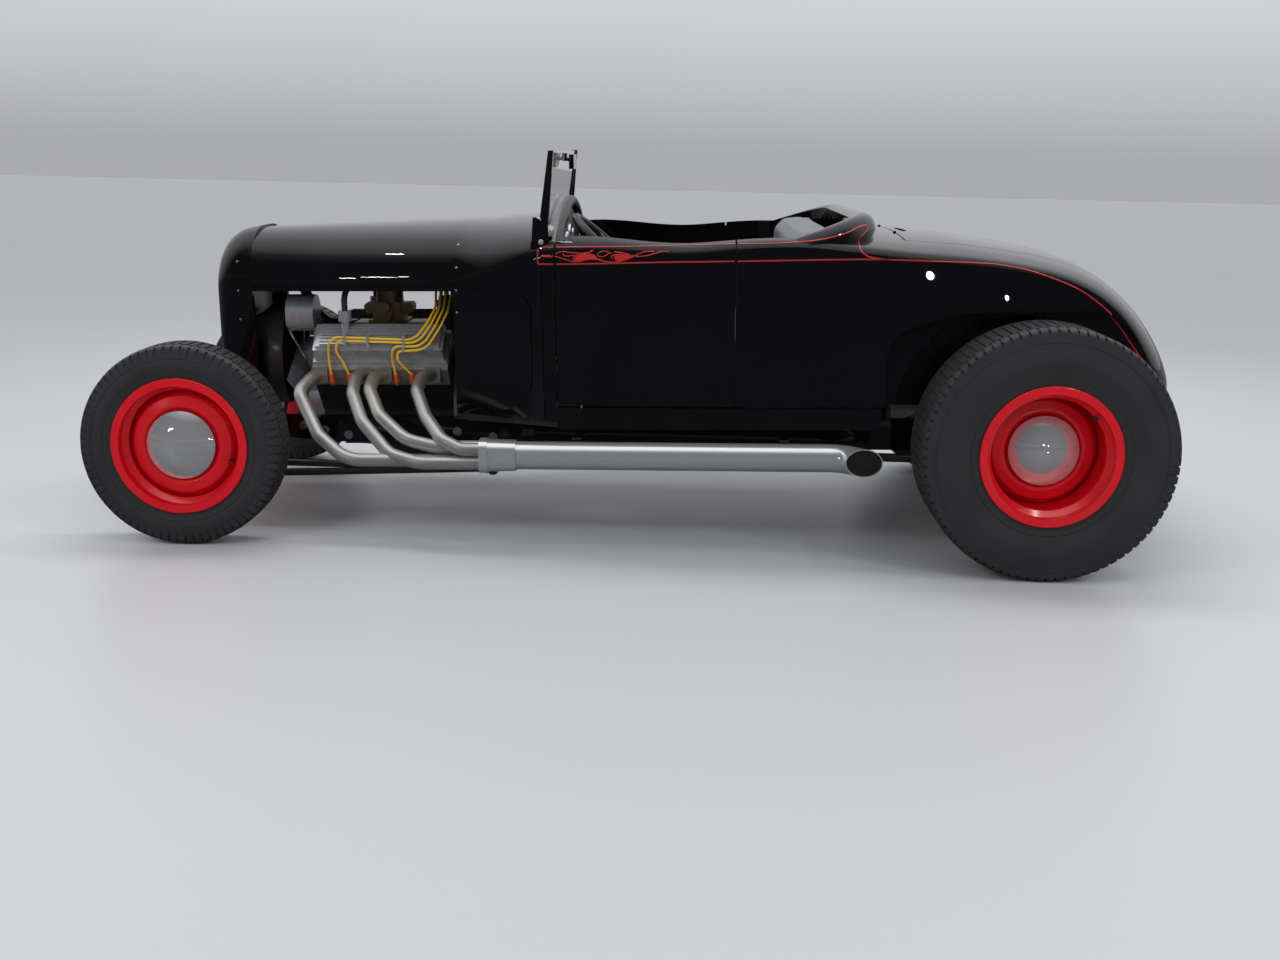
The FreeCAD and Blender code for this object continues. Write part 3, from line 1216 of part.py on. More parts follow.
def seat_cushion():
    front, rear = SEAT_FRONT_X, SEAT_REAR_X
    low = SEAT_BASE_Z + SEAT_GAP
    outline = [(front, low), (front + 15, cushion_top(200) - 20), (front + 50, cushion_top(front + 50)), (rear, cushion_top(rear)), (rear, low)]
    return prism_y(outline, -SEAT_HALF, SEAT_HALF).common(cockpit_cut(SEAT_INSET))


def seat_back():
    low = [(560, cushion_top(560) + SEAT_GAP), (SEAT_REAR_X, cushion_top(SEAT_REAR_X) + SEAT_GAP)]
    back = prism_y(low + [(722, 600), (705, 650), (600, 648), (575, 620)], -SEAT_HALF, SEAT_HALF)
    return back.common(cockpit_cut(SEAT_INSET))


def dash():
    centre_x = DASH_X + HOOP_R
    side_z = HOOP_SIDE - HOOP_R
    arc = Part.Arc(V(centre_x, -DASH_HALF, HOOP_SIDE), V(centre_x, 0, HOOP_TOP), V(centre_x, DASH_HALF, HOOP_SIDE)).toShape()
    section = Part.Wire(Part.makeCircle(HOOP_R, V(centre_x, -DASH_HALF, HOOP_SIDE), arc.tangentAt(arc.FirstParameter)))
    hoop = Part.Wire([arc]).makePipeShell([section], True, False)
    x = DASH_X
    low = Part.LineSegment(V(x, DASH_HALF, DASH_LOW), V(x, -DASH_HALF, DASH_LOW)).toShape()
    left = Part.LineSegment(V(x, -DASH_HALF, DASH_LOW), V(x, -DASH_HALF, HOOP_SIDE)).toShape()
    right = Part.LineSegment(V(x, DASH_HALF, HOOP_SIDE), V(x, DASH_HALF, DASH_LOW)).toShape()
    top = Part.Arc(V(x, -DASH_HALF, HOOP_SIDE), V(x, 0, HOOP_TOP), V(x, DASH_HALF, HOOP_SIDE)).toShape()
    panel = Part.Face(Part.Wire([left, top, right, low])).extrude(V(DASH_T, 0, 0))
    return fuse([hoop, panel])


# Windshield: two raked posts on flats let into the cowl, one pane between them
POST_X = -204.0
POST_Y = 530.0
POST_T = 18.0
POST_FOOT_Z = 588.0
POST_TOP_Z = 884.0
POST_LEAN = 34.0
POST_W = 20.0
GLASS_T = 6.0


def post_x(z):
    return POST_X + POST_LEAN * (z - POST_FOOT_Z) / (POST_TOP_Z - POST_FOOT_Z)


def windshield_posts():
    low, high = POST_FOOT_Z + SEAT_GAP, POST_TOP_Z
    w = POST_W / 2
    post = [(post_x(low) - w - 6, low), (post_x(low) + w + 6, low), (post_x(high) + w - 2, high), (post_x(high) - w + 2, high)]
    foot = [(POST_X - 30, low), (POST_X + 26, low), (POST_X + 22, low + 70), (POST_X - 14, low + 96), (POST_X - 24, low + 96)]
    post = prism_y(post, POST_Y, POST_Y + POST_T)
    foot = prism_y(foot, POST_Y + POST_T, POST_Y + POST_T + 8)
    glass_top = mirror_body()
    return Part.Compound([fuse([post, foot]), mirrored(fuse([post, foot])), glass_top])


def mirror_body():
    """Mirror pod on a pad behind the top of the glass."""
    low, high = POST_TOP_Z - 36, POST_TOP_Z - 10
    gap = GLASS_T / 2 + SEAT_GAP
    pad = prism_y([(post_x(low) + gap, low), (post_x(low) + gap + 8, low), (post_x(high) + gap + 8, high), (post_x(high) + gap, high)], -12, 12)
    pod = box(post_x(low) + 24, post_x(low) + 40, -70, 70, low - 26, low + 22)
    stalk = rod((post_x(low) + 8, 0, low + 8), (post_x(low) + 26, 0, low + 2), 6)
    return fuse([pad, stalk, pod])


def windshield_glass():
    low, high = POST_FOOT_Z, POST_TOP_Z - 2
    half = POST_Y - SEAT_GAP
    t = GLASS_T / 2
    slab = prism_y([(post_x(low) - t, low), (post_x(low) + t, low), (post_x(high) + t, high), (post_x(high) - t, high)], -half, half)
    below = Part.makeLoft([body_section(*s) for s in STATIONS[1:4]], True, False)
    return slab.cut(moved(below, z=3))


def fuel_tank():
    return box(1480, RAIL_END_X - 30 - SEAT_GAP, -300, 300, KICK_TOP - 104, KICK_TOP)


def tail_lamps():
    """Round lamps let flush into the tail."""
    return both(rod((TAIL_X - LAMP_DEEP, LAMP_Y, LAMP_Z), (TAIL_X, LAMP_Y, LAMP_Z), LAMP_R))


def controls():
    """Shift lever on the tunnel and two hanging pedals."""
    base = CRANK_Z + TUNNEL[2][1]
    wall = COWL_FRONT_X + FIREWALL_T + SEAT_GAP
    stick = rod((20, 0, base), (70, 0, base + 230), 7)
    ball = Part.makeSphere(22, V(72, 0, base + 240))
    boot = Part.makeCone(46, 16, 60, V(20, 0, base - 20), V(0.1, 0, 1))
    lever = fuse([stick, ball, boot]).cut(tunnel(TUNNEL_T + SEAT_GAP))
    pedals = []
    for y in (-355, -235):
        pad = box(-398, -388, y - 28, y + 28, 150, 215)
        arm = rod((wall, y, 380), (-392, y, 190), 7)
        plate = box(wall, wall + 6, y - 20, y + 20, 350, 400)
        pedals.append(fuse([pad, arm, plate]).cut(box(-600, wall, -500, 500, 0, 600)))
    return Part.Compound([lever] + pedals)


# Every sub-part in its own file
os.makedirs("parts", exist_ok=True)

cowl, door, rear_body, deck_lid = body_panels()
save("cowl", cowl)
save("door_left", mirrored(door))
save("door_right", door)
save("rear_body", rear_body)
save("deck_lid", deck_lid)
save("hood_top", hood_top())
save("grille_shell", grille_shell())
save("grille_bars", grille_bars())
save("radiator", radiator())
save("frame", frame())
save("rear_rails", rear_rails())
save("crossmembers", crossmembers())
save("front_axle", front_axle())
save("front_suspension", front_suspension())
save("rear_axle", rear_axle())
save("rear_suspension", rear_suspension())

front_tyre = tyre(FRONT_TYRE_R, FRONT_TYRE_W, FRONT_RIM_W)
rear_tyre = tyre(REAR_TYRE_R, REAR_TYRE_W, REAR_RIM_W)
front_wheel = fuse([rim(FRONT_RIM_W, FRONT_DISH_Y), front_hub()])
rear_wheel = fuse([rim(REAR_RIM_W, REAR_DISH_Y), rear_hub()])
front_cap = hub_cap(FRONT_DISH_Y, 34)
rear_cap = hub_cap(REAR_DISH_Y, 34)
for side, right in (("left", False), ("right", True)):
    save("front_tyre_" + side, place_wheel(front_tyre, FRONT_X, FRONT_WHEEL_Y, right))
    save("front_wheel_" + side, place_wheel(front_wheel, FRONT_X, FRONT_WHEEL_Y, right))
    save("front_cap_" + side, place_wheel(front_cap, FRONT_X, FRONT_WHEEL_Y, right))
    save("rear_tyre_" + side, place_wheel(rear_tyre, REAR_X, REAR_WHEEL_Y, right))
    save("rear_wheel_" + side, place_wheel(rear_wheel, REAR_X, REAR_WHEEL_Y, right))
    save("rear_cap_" + side, place_wheel(rear_cap, REAR_X, REAR_WHEEL_Y, right))

right_knuckle = knuckle()
save("knuckle_left", mirrored(right_knuckle))
save("knuckle_right", right_knuckle)
save("tie_rod", tie_rod())
save("steering_wheel", steering_wheel())
save("steering_column", steering_column())
save("engine_block", engine_block())
save("cylinder_heads", cylinder_heads())
save("valve_covers", valve_covers())
save("intake", intake())
save("plug_leads", plug_leads())
save("plug_boots", plug_boots())
save("hoses", hoses())
save("distributor", distributor())
save("belt_drive", belt_drive())
save("gearbox", gearbox())
save("headers", headers())
save("side_pipes", side_pipes())
save("floor_pan", floor_pan())
save("seat_riser", seat_riser())
save("sills", sills())
save("gearbox_tunnel", gearbox_tunnel())
save("seat_cushion", seat_cushion())
save("seat_back", seat_back())
save("dash", dash())
save("windshield_posts", windshield_posts())
save("windshield_glass", windshield_glass())
save("fuel_tank", fuel_tank())
save("tail_lamps", tail_lamps())
save("controls", controls())
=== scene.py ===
import math

import bmesh
import bpy
from mathutils import Matrix, Vector
from mathutils.bvhtree import BVHTree


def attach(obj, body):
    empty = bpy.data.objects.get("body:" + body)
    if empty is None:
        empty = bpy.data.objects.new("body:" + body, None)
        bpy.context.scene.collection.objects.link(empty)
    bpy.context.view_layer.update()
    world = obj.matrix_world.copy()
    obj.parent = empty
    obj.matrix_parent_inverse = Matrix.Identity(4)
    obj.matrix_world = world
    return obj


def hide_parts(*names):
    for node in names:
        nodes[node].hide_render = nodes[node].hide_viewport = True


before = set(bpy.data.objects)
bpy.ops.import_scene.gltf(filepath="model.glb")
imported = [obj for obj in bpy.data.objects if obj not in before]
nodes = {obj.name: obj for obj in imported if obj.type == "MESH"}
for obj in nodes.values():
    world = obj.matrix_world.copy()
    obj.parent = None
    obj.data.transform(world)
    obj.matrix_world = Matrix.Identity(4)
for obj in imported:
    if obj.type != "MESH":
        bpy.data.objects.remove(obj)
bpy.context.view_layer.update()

# Studio: a pale floor and backdrop under soft lamps. The camera is 1.24 m up and about four metres from the car's left
# side, and leans a little as the photograph does.
scene = bpy.context.scene
scene.view_settings.view_transform = "Standard"
CAMERA_AT = Vector((0.1097, -5.2237, 1.2438))
CAMERA_LOOKS = Vector((-0.02207, 0.97615, -0.21599)).normalized()
CAMERA_ROLL = 0.0228
CAMERA_LENS = 42.38

right = CAMERA_LOOKS.cross(Vector((0, 0, 1))).normalized()
up = right.cross(CAMERA_LOOKS)
rolled_right = right * math.cos(CAMERA_ROLL) + up * math.sin(CAMERA_ROLL)
rolled_up = up * math.cos(CAMERA_ROLL) - right * math.sin(CAMERA_ROLL)
camera = bpy.data.objects.new("camera", bpy.data.cameras.new("camera"))
scene.collection.objects.link(camera)
camera.data.lens = CAMERA_LENS
camera.data.sensor_width = 36.0
camera.matrix_world = Matrix((
    (rolled_right.x, rolled_up.x, -CAMERA_LOOKS.x, CAMERA_AT.x),
    (rolled_right.y, rolled_up.y, -CAMERA_LOOKS.y, CAMERA_AT.y),
    (rolled_right.z, rolled_up.z, -CAMERA_LOOKS.z, CAMERA_AT.z),
    (0, 0, 0, 1),
))
scene.camera = camera


class Wire:
    """A shader socket that takes part in sums as a number does."""

    def __init__(self, finish, socket):
        self.finish = finish
        self.socket = socket

    def math(self, operation, *values):
        return self.finish.add("ShaderNodeMath", {"operation": operation}, dict(enumerate(values)))

    def __add__(self, other):
        return self.math("ADD", self, other)

    def __radd__(self, other):
        return self.math("ADD", other, self)

    def __sub__(self, other):
        return self.math("SUBTRACT", self, other)

    def __rsub__(self, other):
        return self.math("SUBTRACT", other, self)

    def __mul__(self, other):
        return self.math("MULTIPLY", self, other)

    def __rmul__(self, other):
        return self.math("MULTIPLY", other, self)

    def __gt__(self, other):
        return self.math("GREATER_THAN", self, other)

    def __lt__(self, other):
        return self.math("LESS_THAN", self, other)

    def clamped(self):
        return self.finish.add("ShaderNodeClamp", {}, {"Value": self})


class Finish:
    """A material built node by node round one Principled shader."""

    def __init__(self, name):
        self.material = bpy.data.materials.new(name)
        self.material.use_nodes = True
        self.tree = self.material.node_tree
        self.tree.nodes.clear()
        self.shader = self.tree.nodes.new("ShaderNodeBsdfPrincipled")
        self.output = self.tree.nodes.new("ShaderNodeOutputMaterial")
        self.tree.links.new(self.shader.outputs[0], self.output.inputs["Surface"])
        self.place = self.tree.nodes.new("ShaderNodeTexCoord").outputs["Object"]

    def feed(self, socket, value):
        if isinstance(value, Wire):
            value = value.socket
        if isinstance(value, bpy.types.NodeSocket):
            self.tree.links.new(value, socket)
        elif isinstance(value, (tuple, list)) and socket.type == "RGBA" and len(value) == 3:
            socket.default_value = (*value, 1.0)
        else:
            socket.default_value = value

    def add(self, kind, settings, sockets, out=0):
        node = self.tree.nodes.new(kind)
        for key, value in settings.items():
            setattr(node, key, value)
        for key, value in sockets.items():
            self.feed(node.inputs[key], value)
        return Wire(self, node.outputs[out])

    def set(self, **sockets):
        for key, value in sockets.items():
            self.feed(self.shader.inputs[key.replace("_", " ")], value)

    def noise(self, scale, detail=3.0):
        return self.add("ShaderNodeTexNoise", {}, {"Vector": self.place, "Scale": scale, "Detail": detail})

    def mix(self, factor, a, b):
        return self.add("ShaderNodeMix", {"data_type": "RGBA"}, {0: factor, 6: a, 7: b}, out=2)

    def bump(self, height, distance, strength=1.0):
        return self.add("ShaderNodeBump", {}, {"Height": height, "Distance": distance, "Strength": strength})

    def axes(self):
        split = self.tree.nodes.new("ShaderNodeSeparateXYZ")
        self.feed(split.inputs[0], self.place)
        return [Wire(self, socket) for socket in split.outputs]


FLOOR_COLOUR = (0.56, 0.57, 0.59)
MIRRORED_FLOOR = (0.055, 0.058, 0.066)
FLOOR_HALF = 40
floor_finish = Finish("studio floor")
glossy_ray = floor_finish.add("ShaderNodeLightPath", {}, {}, out="Is Glossy Ray")
glass_ray = floor_finish.add("ShaderNodeLightPath", {}, {}, out="Is Transmission Ray")
mirrored_ray = glossy_ray * (1.0 - glass_ray)
floor_finish.set(Base_Color=floor_finish.mix(mirrored_ray, FLOOR_COLOUR, MIRRORED_FLOOR), Roughness=0.38)
floor_mesh = bmesh.new()
bmesh.ops.create_grid(floor_mesh, x_segments=1, y_segments=1, size=FLOOR_HALF)
floor_data = bpy.data.meshes.new("floor")
floor_mesh.to_mesh(floor_data)
floor_mesh.free()
floor = bpy.data.objects.new("floor", floor_data)
floor_data.materials.append(floor_finish.material)
scene.collection.objects.link(floor)

# The room: lit evenly by a pale sky. Mirrored rays find a dark hall on the camera's side and the bright wall behind
# the car, as the black lacquer does in the photograph. Small spots put its highlights on the hood and the quarters.
world = bpy.data.worlds.new("studio")
scene.world = world
world.use_nodes = True
tree = world.node_tree
tree.nodes.clear()
facing = tree.nodes.new("ShaderNodeSeparateXYZ")
tree.links.new(tree.nodes.new("ShaderNodeTexCoord").outputs["Generated"], facing.inputs[0])


def height_ramp(stops):
    """A colour that changes with how high the ray points."""
    ramp = tree.nodes.new("ShaderNodeValToRGB")
    tree.links.new(facing.outputs["Z"], ramp.inputs[0])
    while len(ramp.color_ramp.elements) < len(stops):
        ramp.color_ramp.elements.new(0.5)
    for element, (position, shade) in zip(ramp.color_ramp.elements, stops):
        element.position = position
        element.color = (shade, shade * 1.01, shade * 1.04, 1.0)
    return ramp.outputs[0]


def background(colour, strength=1.0):
    shade = tree.nodes.new("ShaderNodeBackground")
    tree.links.new(colour, shade.inputs["Color"])
    shade.inputs["Strength"].default_value = strength
    return shade.outputs[0]


def pick_shader(factor, first, second):
    pick = tree.nodes.new("ShaderNodeMixShader")
    tree.links.new(factor, pick.inputs[0])
    tree.links.new(first, pick.inputs[1])
    tree.links.new(second, pick.inputs[2])
    return pick.outputs[0]


side_ramp = tree.nodes.new("ShaderNodeMapRange")
side_ramp.inputs["From Min"].default_value = -0.25
side_ramp.inputs["From Max"].default_value = 0.15
tree.links.new(facing.outputs["Y"], side_ramp.inputs["Value"])
dark_hall = background(height_ramp(((0.0, 0.09), (0.10, 0.055), (0.62, 0.045), (0.80, 0.24), (0.95, 0.95))))
bright_wall = background(height_ramp(((0.0, 0.50), (0.20, 0.62), (0.50, 0.80), (0.70, 0.95))))
mirrored_room = pick_shader(side_ramp.outputs[0], dark_hall, bright_wall)
even_light = background(height_ramp(((0.0, 0.88), (1.0, 0.90))), 0.72)
seen_wall = background(height_ramp(((0.0, 0.40), (0.04, 0.52), (0.12, 0.70), (0.34, 0.86))))
rays = tree.nodes.new("ShaderNodeLightPath")
room = pick_shader(rays.outputs["Is Glossy Ray"], even_light, mirrored_room)
room = pick_shader(rays.outputs["Is Transmission Ray"], room, seen_wall)
room = pick_shader(rays.outputs["Is Camera Ray"], room, seen_wall)
tree.links.new(room, tree.nodes.new("ShaderNodeOutputWorld").inputs["Surface"])

for lamp_name, at, aim, wide, tall, watts in (
    ("lamp overhead", (0.0, 0.4, 4.2), (0.0, 0.0, 0.6), 5.0, 0.9, 80),
    ("lamp left", (-2.8, -4.6, 3.4), (-0.4, 0.0, 0.5), 1.2, 1.2, 55),
    ("lamp right", (3.6, -3.8, 3.0), (0.8, 0.0, 0.5), 1.0, 1.0, 40),
    ("lamp behind", (0.6, 4.2, 3.0), (0.0, 0.0, 0.8), 3.0, 1.0, 50),
    ("spot bar", (-2.98, -2.97, 1.38), (-0.87, -0.36, 0.81), 0.19, 0.045, 1.4),
    ("spot bar ahead", (-3.14, -2.92, 1.28), (-0.99, -0.33, 0.81), 0.09, 0.045, 0.7),
    ("spot bar behind", (-2.84, -3.00, 1.44), (-0.76, -0.39, 0.82), 0.07, 0.045, 0.5),
    ("spot hood", (-2.49, -0.82, 3.80), (-0.80, -0.35, 0.89), 0.13, 0.06, 1.6),
    ("spot quarter", (1.63, -3.92, 0.62), (0.88, -0.61, 0.88), 0.050, 0.050, 0.7),
    ("spot tail", (2.14, -3.83, 0.52), (1.10, -0.61, 0.83), 0.035, 0.035, 0.3),
    ("spot rear", (2.6, -1.6, 3.3), (1.3, -0.2, 0.7), 0.16, 0.16, 9),
):
    light = bpy.data.lights.new(lamp_name, "AREA")
    light.shape = "ELLIPSE" if lamp_name.startswith("spot") else "RECTANGLE"
    light.size = wide
    light.size_y = tall
    light.energy = watts
    lamp = bpy.data.objects.new(lamp_name, light)
    scene.collection.objects.link(lamp)
    lamp.location = at
    lamp.visible_glossy = lamp_name.startswith("spot")
    lamp.visible_camera = False
    lamp.rotation_euler = (Vector(aim) - Vector(at)).to_track_quat("-Z", "Y").to_euler()


# Body panels: pressed steel in deep gloss black under clear lacquer, with the faint waviness of polished paint. The
# same black covers the grille shell, hood top, cowl, doors, rear quarters and deck lid.
def wear(name, finish):
    """Gives a CAD node one finish all over."""
    materials = nodes[name].data.materials
    materials.clear()
    materials.append(finish.material)


black_paint = Finish("black lacquer")
pigment = black_paint.mix(black_paint.noise(5.0, 2.0), (0.0022, 0.0022, 0.0028), (0.0040, 0.0040, 0.0050))
waviness = black_paint.bump(black_paint.noise(9.0, 2.0), 0.0006, 0.35)
black_paint.set(Base_Color=pigment, Roughness=0.35, Specular_IOR_Level=0.0, Coat_Weight=1.0, Coat_Roughness=0.012,
                Normal=waviness)
for name in ("cowl", "door_left", "door_right", "rear_body", "deck_lid", "hood_top", "grille_shell"):
    wear(name, black_paint)

# Pinstripes: brushed-on red lines, two along the belt from the cowl to the tail with a closed box at the front, the
# upper one climbing the rolled edge behind the seat and looping back, and a scroll of flames in the box.
stripe_red = Finish("stripe red")
enamel = stripe_red.mix(stripe_red.noise(40.0), (0.36, 0.006, 0.010), (0.46, 0.010, 0.014))
stripe_red.set(Base_Color=enamel, Roughness=0.3, Coat_Weight=0.8, Coat_Roughness=0.05)

WHEELBASE = 2.629
AXLE_STEP = 0.068
AXLE_HEIGHT = 0.347
RAKE = math.asin(AXLE_STEP / WHEELBASE)
ORIGIN_X = -0.097363


def car(x, y, z):
    """A point in the frame's own axes, millimetres from between the axles, placed on the standing car in metres."""
    x, y, z = x / 1000, y / 1000, z / 1000
    along = x * math.cos(RAKE) - z * math.sin(RAKE) + ORIGIN_X
    height = AXLE_HEIGHT + x * math.sin(RAKE) + z * math.cos(RAKE)
    return Vector((along, y, height))


def curve_through(points, per_span=8):
    """Points along a smooth line through the given ones."""
    pts = [Vector(p) for p in points]
    out = []
    for i in range(len(pts) - 1):
        p0, p1, p2, p3 = pts[max(i - 1, 0)], pts[i], pts[i + 1], pts[min(i + 2, len(pts) - 1)]
        for k in range(per_span):
            t = k / per_span
            bend = (2 * p0 - 5 * p1 + 4 * p2 - p3) * t * t
            twist = (3 * p1 - p0 - 3 * p2 + p3) * t ** 3
            out.append(0.5 * ((2 * p1) + (p2 - p0) * t + bend + twist))
    out.append(pts[-1])
    return out


skins = {}
depsgraph = bpy.context.evaluated_depsgraph_get()
for name in ("cowl", "door_left", "door_right", "rear_body", "grille_shell", "frame", "rear_rails",
             "front_wheel_left", "front_wheel_right", "rear_wheel_left", "rear_wheel_right"):
    skins[name] = BVHTree.FromObject(nodes[name], depsgraph)


def on_skin(panels, x, z, side):
    """The outermost skin at this place on the car's side, with the panel and its outward normal."""
    start = car(x, side * 1000, z)
    best = None
    for panel in panels:
        spot, normal, _, far = skins[panel].ray_cast(start, Vector((0, -side, 0)), 1.0)
        if spot and (best is None or far < best[3]):
            best = (panel, spot, normal if normal.y * side > 0 else -normal, far)
    return best and best[:3]


def made(name, mesh, body, finish):
    """Turns a finished bmesh into a piece that rides on a body."""
    data = bpy.data.meshes.new(name)
    mesh.to_mesh(data)
    mesh.free()
    piece = bpy.data.objects.new(name, data)
    scene.collection.objects.link(piece)
    data.materials.append(finish.material)
    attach(piece, body)
    return piece


def soften(mesh):
    """Rounded shading on every face."""
    for face in mesh.faces:
        face.smooth = True


PAINT_THICK = 0.0004


def stripe(name, panels, line, side, width, finish=stripe_red, lift=PAINT_THICK):
    """A painted line laid on the skin, one ribbon for each panel that it crosses."""
    parts, run = [], []
    for hit in [on_skin(panels, x, z, side) for x, z in line] + [None]:
        if run and (hit is None or hit[0] != run[-1][0]):
            parts.append(run)
            run = []
        if hit is not None:
            run.append(hit)
    for number, run in enumerate(p for p in parts if len(p) > 2):
        mesh = bmesh.new()
        edges = []
        for i, (_, spot, normal) in enumerate(run):
            ahead = (run[min(i + 1, len(run) - 1)][1] - run[max(i - 1, 0)][1]).normalized()
            across = normal.cross(ahead).normalized() * width / 2
            base = spot + normal * lift
            edges.append((mesh.verts.new(base - across), mesh.verts.new(base + across)))
        for (a, b), (c, d) in zip(edges, edges[1:]):
            mesh.faces.new((a, b, d, c))
        bmesh.ops.recalc_face_normals(mesh, faces=mesh.faces)
        mesh.faces.ensure_lookup_table()
        if mesh.faces[0].normal.y * side < 0:
            bmesh.ops.reverse_faces(mesh, faces=mesh.faces)
        soften(mesh)
        panel = run[0][0]
        body = panel if panel.startswith("door") else "chassis"
        piece = made(f"{name}_{number}", mesh, body, finish)
        shell = piece.modifiers.new("paint thickness", "SOLIDIFY")
        shell.thickness = PAINT_THICK
        shell.offset = 1.0


SIDES = ((-1, "left"), (1, "right"))
STRIPE_W = 0.0044
STRIPE_STEPS = 40
upper = [(-213, 593), (-110, 596), (-20, 597), (90, 598), (163, 599), (260, 601), (384, 605), (496, 607), (587, 611),
         (662, 620), (725, 634), (765, 649), (792, 655), (802, 646), (788, 631), (773, 618), (767, 604), (768, 590),
         (777, 577), (795, 567), (825, 561), (862, 557)]
lower = [(-213, 543), (-20, 547), (162, 551), (384, 554), (588, 557), (799, 559), (981, 553), (1120, 547), (1192, 541),
         (1283, 523), (1375, 492), (1437, 465), (1484, 435), (1531, 398), (1574, 353), (1614, 298), (1647, 252),
         (1671, 205)]
front_bar = [(-213, 543 + 5 * i) for i in range(11)]
dash_line = [(-201 + 5 * i, 569) for i in range(7)]
for side, hand in SIDES:
    panels = ("cowl", "door_" + hand, "rear_body")
    for line_name, points in (("upper", upper), ("lower", lower)):
        line = [(p.x, p.y) for p in curve_through([(x, z, 0) for x, z in points], STRIPE_STEPS)]
        stripe(f"stripe_{line_name}_{hand}", panels, line, side, STRIPE_W)
    stripe("stripe_front_" + hand, panels, front_bar, side, STRIPE_W)
    stripe("stripe_dash_" + hand, panels, dash_line, side, STRIPE_W)

# Flames: a hand-drawn scroll of enamel in the box at the head of the stripes, thin lines over two filled tongues. The
# red is uneven, as brush strokes leave it, and the lines lie on top of the tongues.
flame_red = Finish("flame red")
brushed = flame_red.mix(flame_red.noise(26.0, 3.0), (0.30, 0.004, 0.004), (0.75, 0.03, 0.015))
flame_red.set(Base_Color=brushed, Roughness=0.3, Coat_Weight=0.8, Coat_Roughness=0.05)
FLAME_W = 0.0026
FLAME_LIFT = 0.0007
flame_lines = [
    [(-200, 567), (-180, 566.5), (-167, 566)],
    [(-166, 569), (-150, 578), (-134, 582.5), (-111, 580), (-83, 578), (-58, 580), (-46, 584), (-40, 587)],
    [(-166, 569), (-146, 565), (-125, 559), (-104, 553), (-80, 554), (-58, 560), (-41, 561), (-20, 557.5), (1, 553),
     (26, 552), (51, 556.5), (72, 564), (90, 573), (107, 580), (125, 583.5), (144, 583)],
    [(-134, 578), (-130, 571), (-121, 569), (-100, 571.5), (-76, 572.5), (-52, 570)],
    [(-104, 561), (-98, 567), (-84, 566), (-70, 561)],
    [(-55, 580), (-41, 567.5), (-20, 560), (-2, 552)],
    [(16, 578), (1, 583.5), (-16, 583.5), (-27, 576.5), (-23, 569.5), (-9, 568.5), (3, 575), (12, 580)],
    [(23, 582), (44, 580.5), (65, 575.5), (79, 571), (104, 569), (128, 572.5), (153, 579), (171, 583), (190, 582)],
    [(19, 561), (15, 569), (26, 574.5), (37, 569), (33, 573)],
]
flame_leaves = [
    [(-104, 556), (-84, 573), (-60, 578), (-38, 574), (-30, 566), (-52, 559), (-76, 556)],
    [(22, 573), (42, 577), (62, 574), (80, 569), (66, 562), (44, 556.5), (28, 558)],
]
for side, hand in SIDES:
    panels = ("cowl", "door_" + hand, "rear_body")
    for number, points in enumerate(flame_lines):
        line = [(p.x, p.y) for p in curve_through([(x, z, 0) for x, z in points])]
        stripe(f"flame_{hand}_{number}", panels, line, side, FLAME_W, flame_red, FLAME_LIFT)
    for number, points in enumerate(flame_leaves):
        mesh = bmesh.new()
        ring = []
        for point in curve_through([(x, z, 0) for x, z in points + points[:1]], 4)[:-1]:
            _, spot, normal = on_skin(("door_" + hand,), point.x, point.y, side)
            ring.append(mesh.verts.new(spot + normal * PAINT_THICK))
        leaf = mesh.faces.new(ring)
        leaf.normal_update()
        if leaf.normal.y * side < 0:
            leaf.normal_flip()
        bmesh.ops.triangulate(mesh, faces=mesh.faces)
        made(f"flame_leaf_{hand}_{number}", mesh, "door_" + hand, flame_red)


# Tyres: black rubber, round-shouldered, with two moulded rings on each sidewall and a road tread of five ribs, cross
# cut at a steady pitch and open at the shoulders. Each is seated on its rim's beads and rolls with the wheel.
def smooth(mesh, angle=35):
    """Rounded shading, with the edges sharper than the angle kept crisp."""
    soften(mesh)
    for edge in mesh.edges:
        edge.smooth = len(edge.link_faces) == 2 and edge.calc_face_angle(0) < math.radians(angle)


rubber = Finish("tyre rubber")
rubber.set(Base_Color=rubber.mix(rubber.noise(7.0), (0.020, 0.021, 0.022), (0.034, 0.035, 0.037)),
           Roughness=rubber.noise(50.0) * 0.12 + 0.5, Normal=rubber.bump(rubber.noise(160.0, 2.0), 0.0003, 0.4))
PITCH_CUTS = (0.0, 0.22, 0.26, 0.46, 0.50, 0.72, 0.76, 0.96)
BEAD_R = 0.1908
FLANGE_R = 0.2135
RING_LOW = 0.236
RING_UNDER_TREAD = 0.040
GROOVE_DEEP = 0.007
GROOVE_HALF = 0.0045
SLOT_DEEP = 0.0055


def rounded_line(corners, radii, per_arc):
    """A flat line with each inner corner turned into an arc."""
    out = [Vector(corners[0])]
    for before, at, after, radius in zip(corners, corners[1:], corners[2:], radii):
        at = Vector(at)
        if radius == 0:
            out.append(at)
            continue
        a = (Vector(before) - at).normalized()
        b = (Vector(after) - at).normalized()
        half = a.angle(b) / 2
        centre = at + (a + b).normalized() * radius / math.sin(half)
        start, end = at + a * radius / math.tan(half), at + b * radius / math.tan(half)
        for k in range(per_arc + 1):
            out.append(centre + (start.lerp(end, k / per_arc) - centre).normalized() * radius)
    out.append(Vector(corners[-1]))
    return out


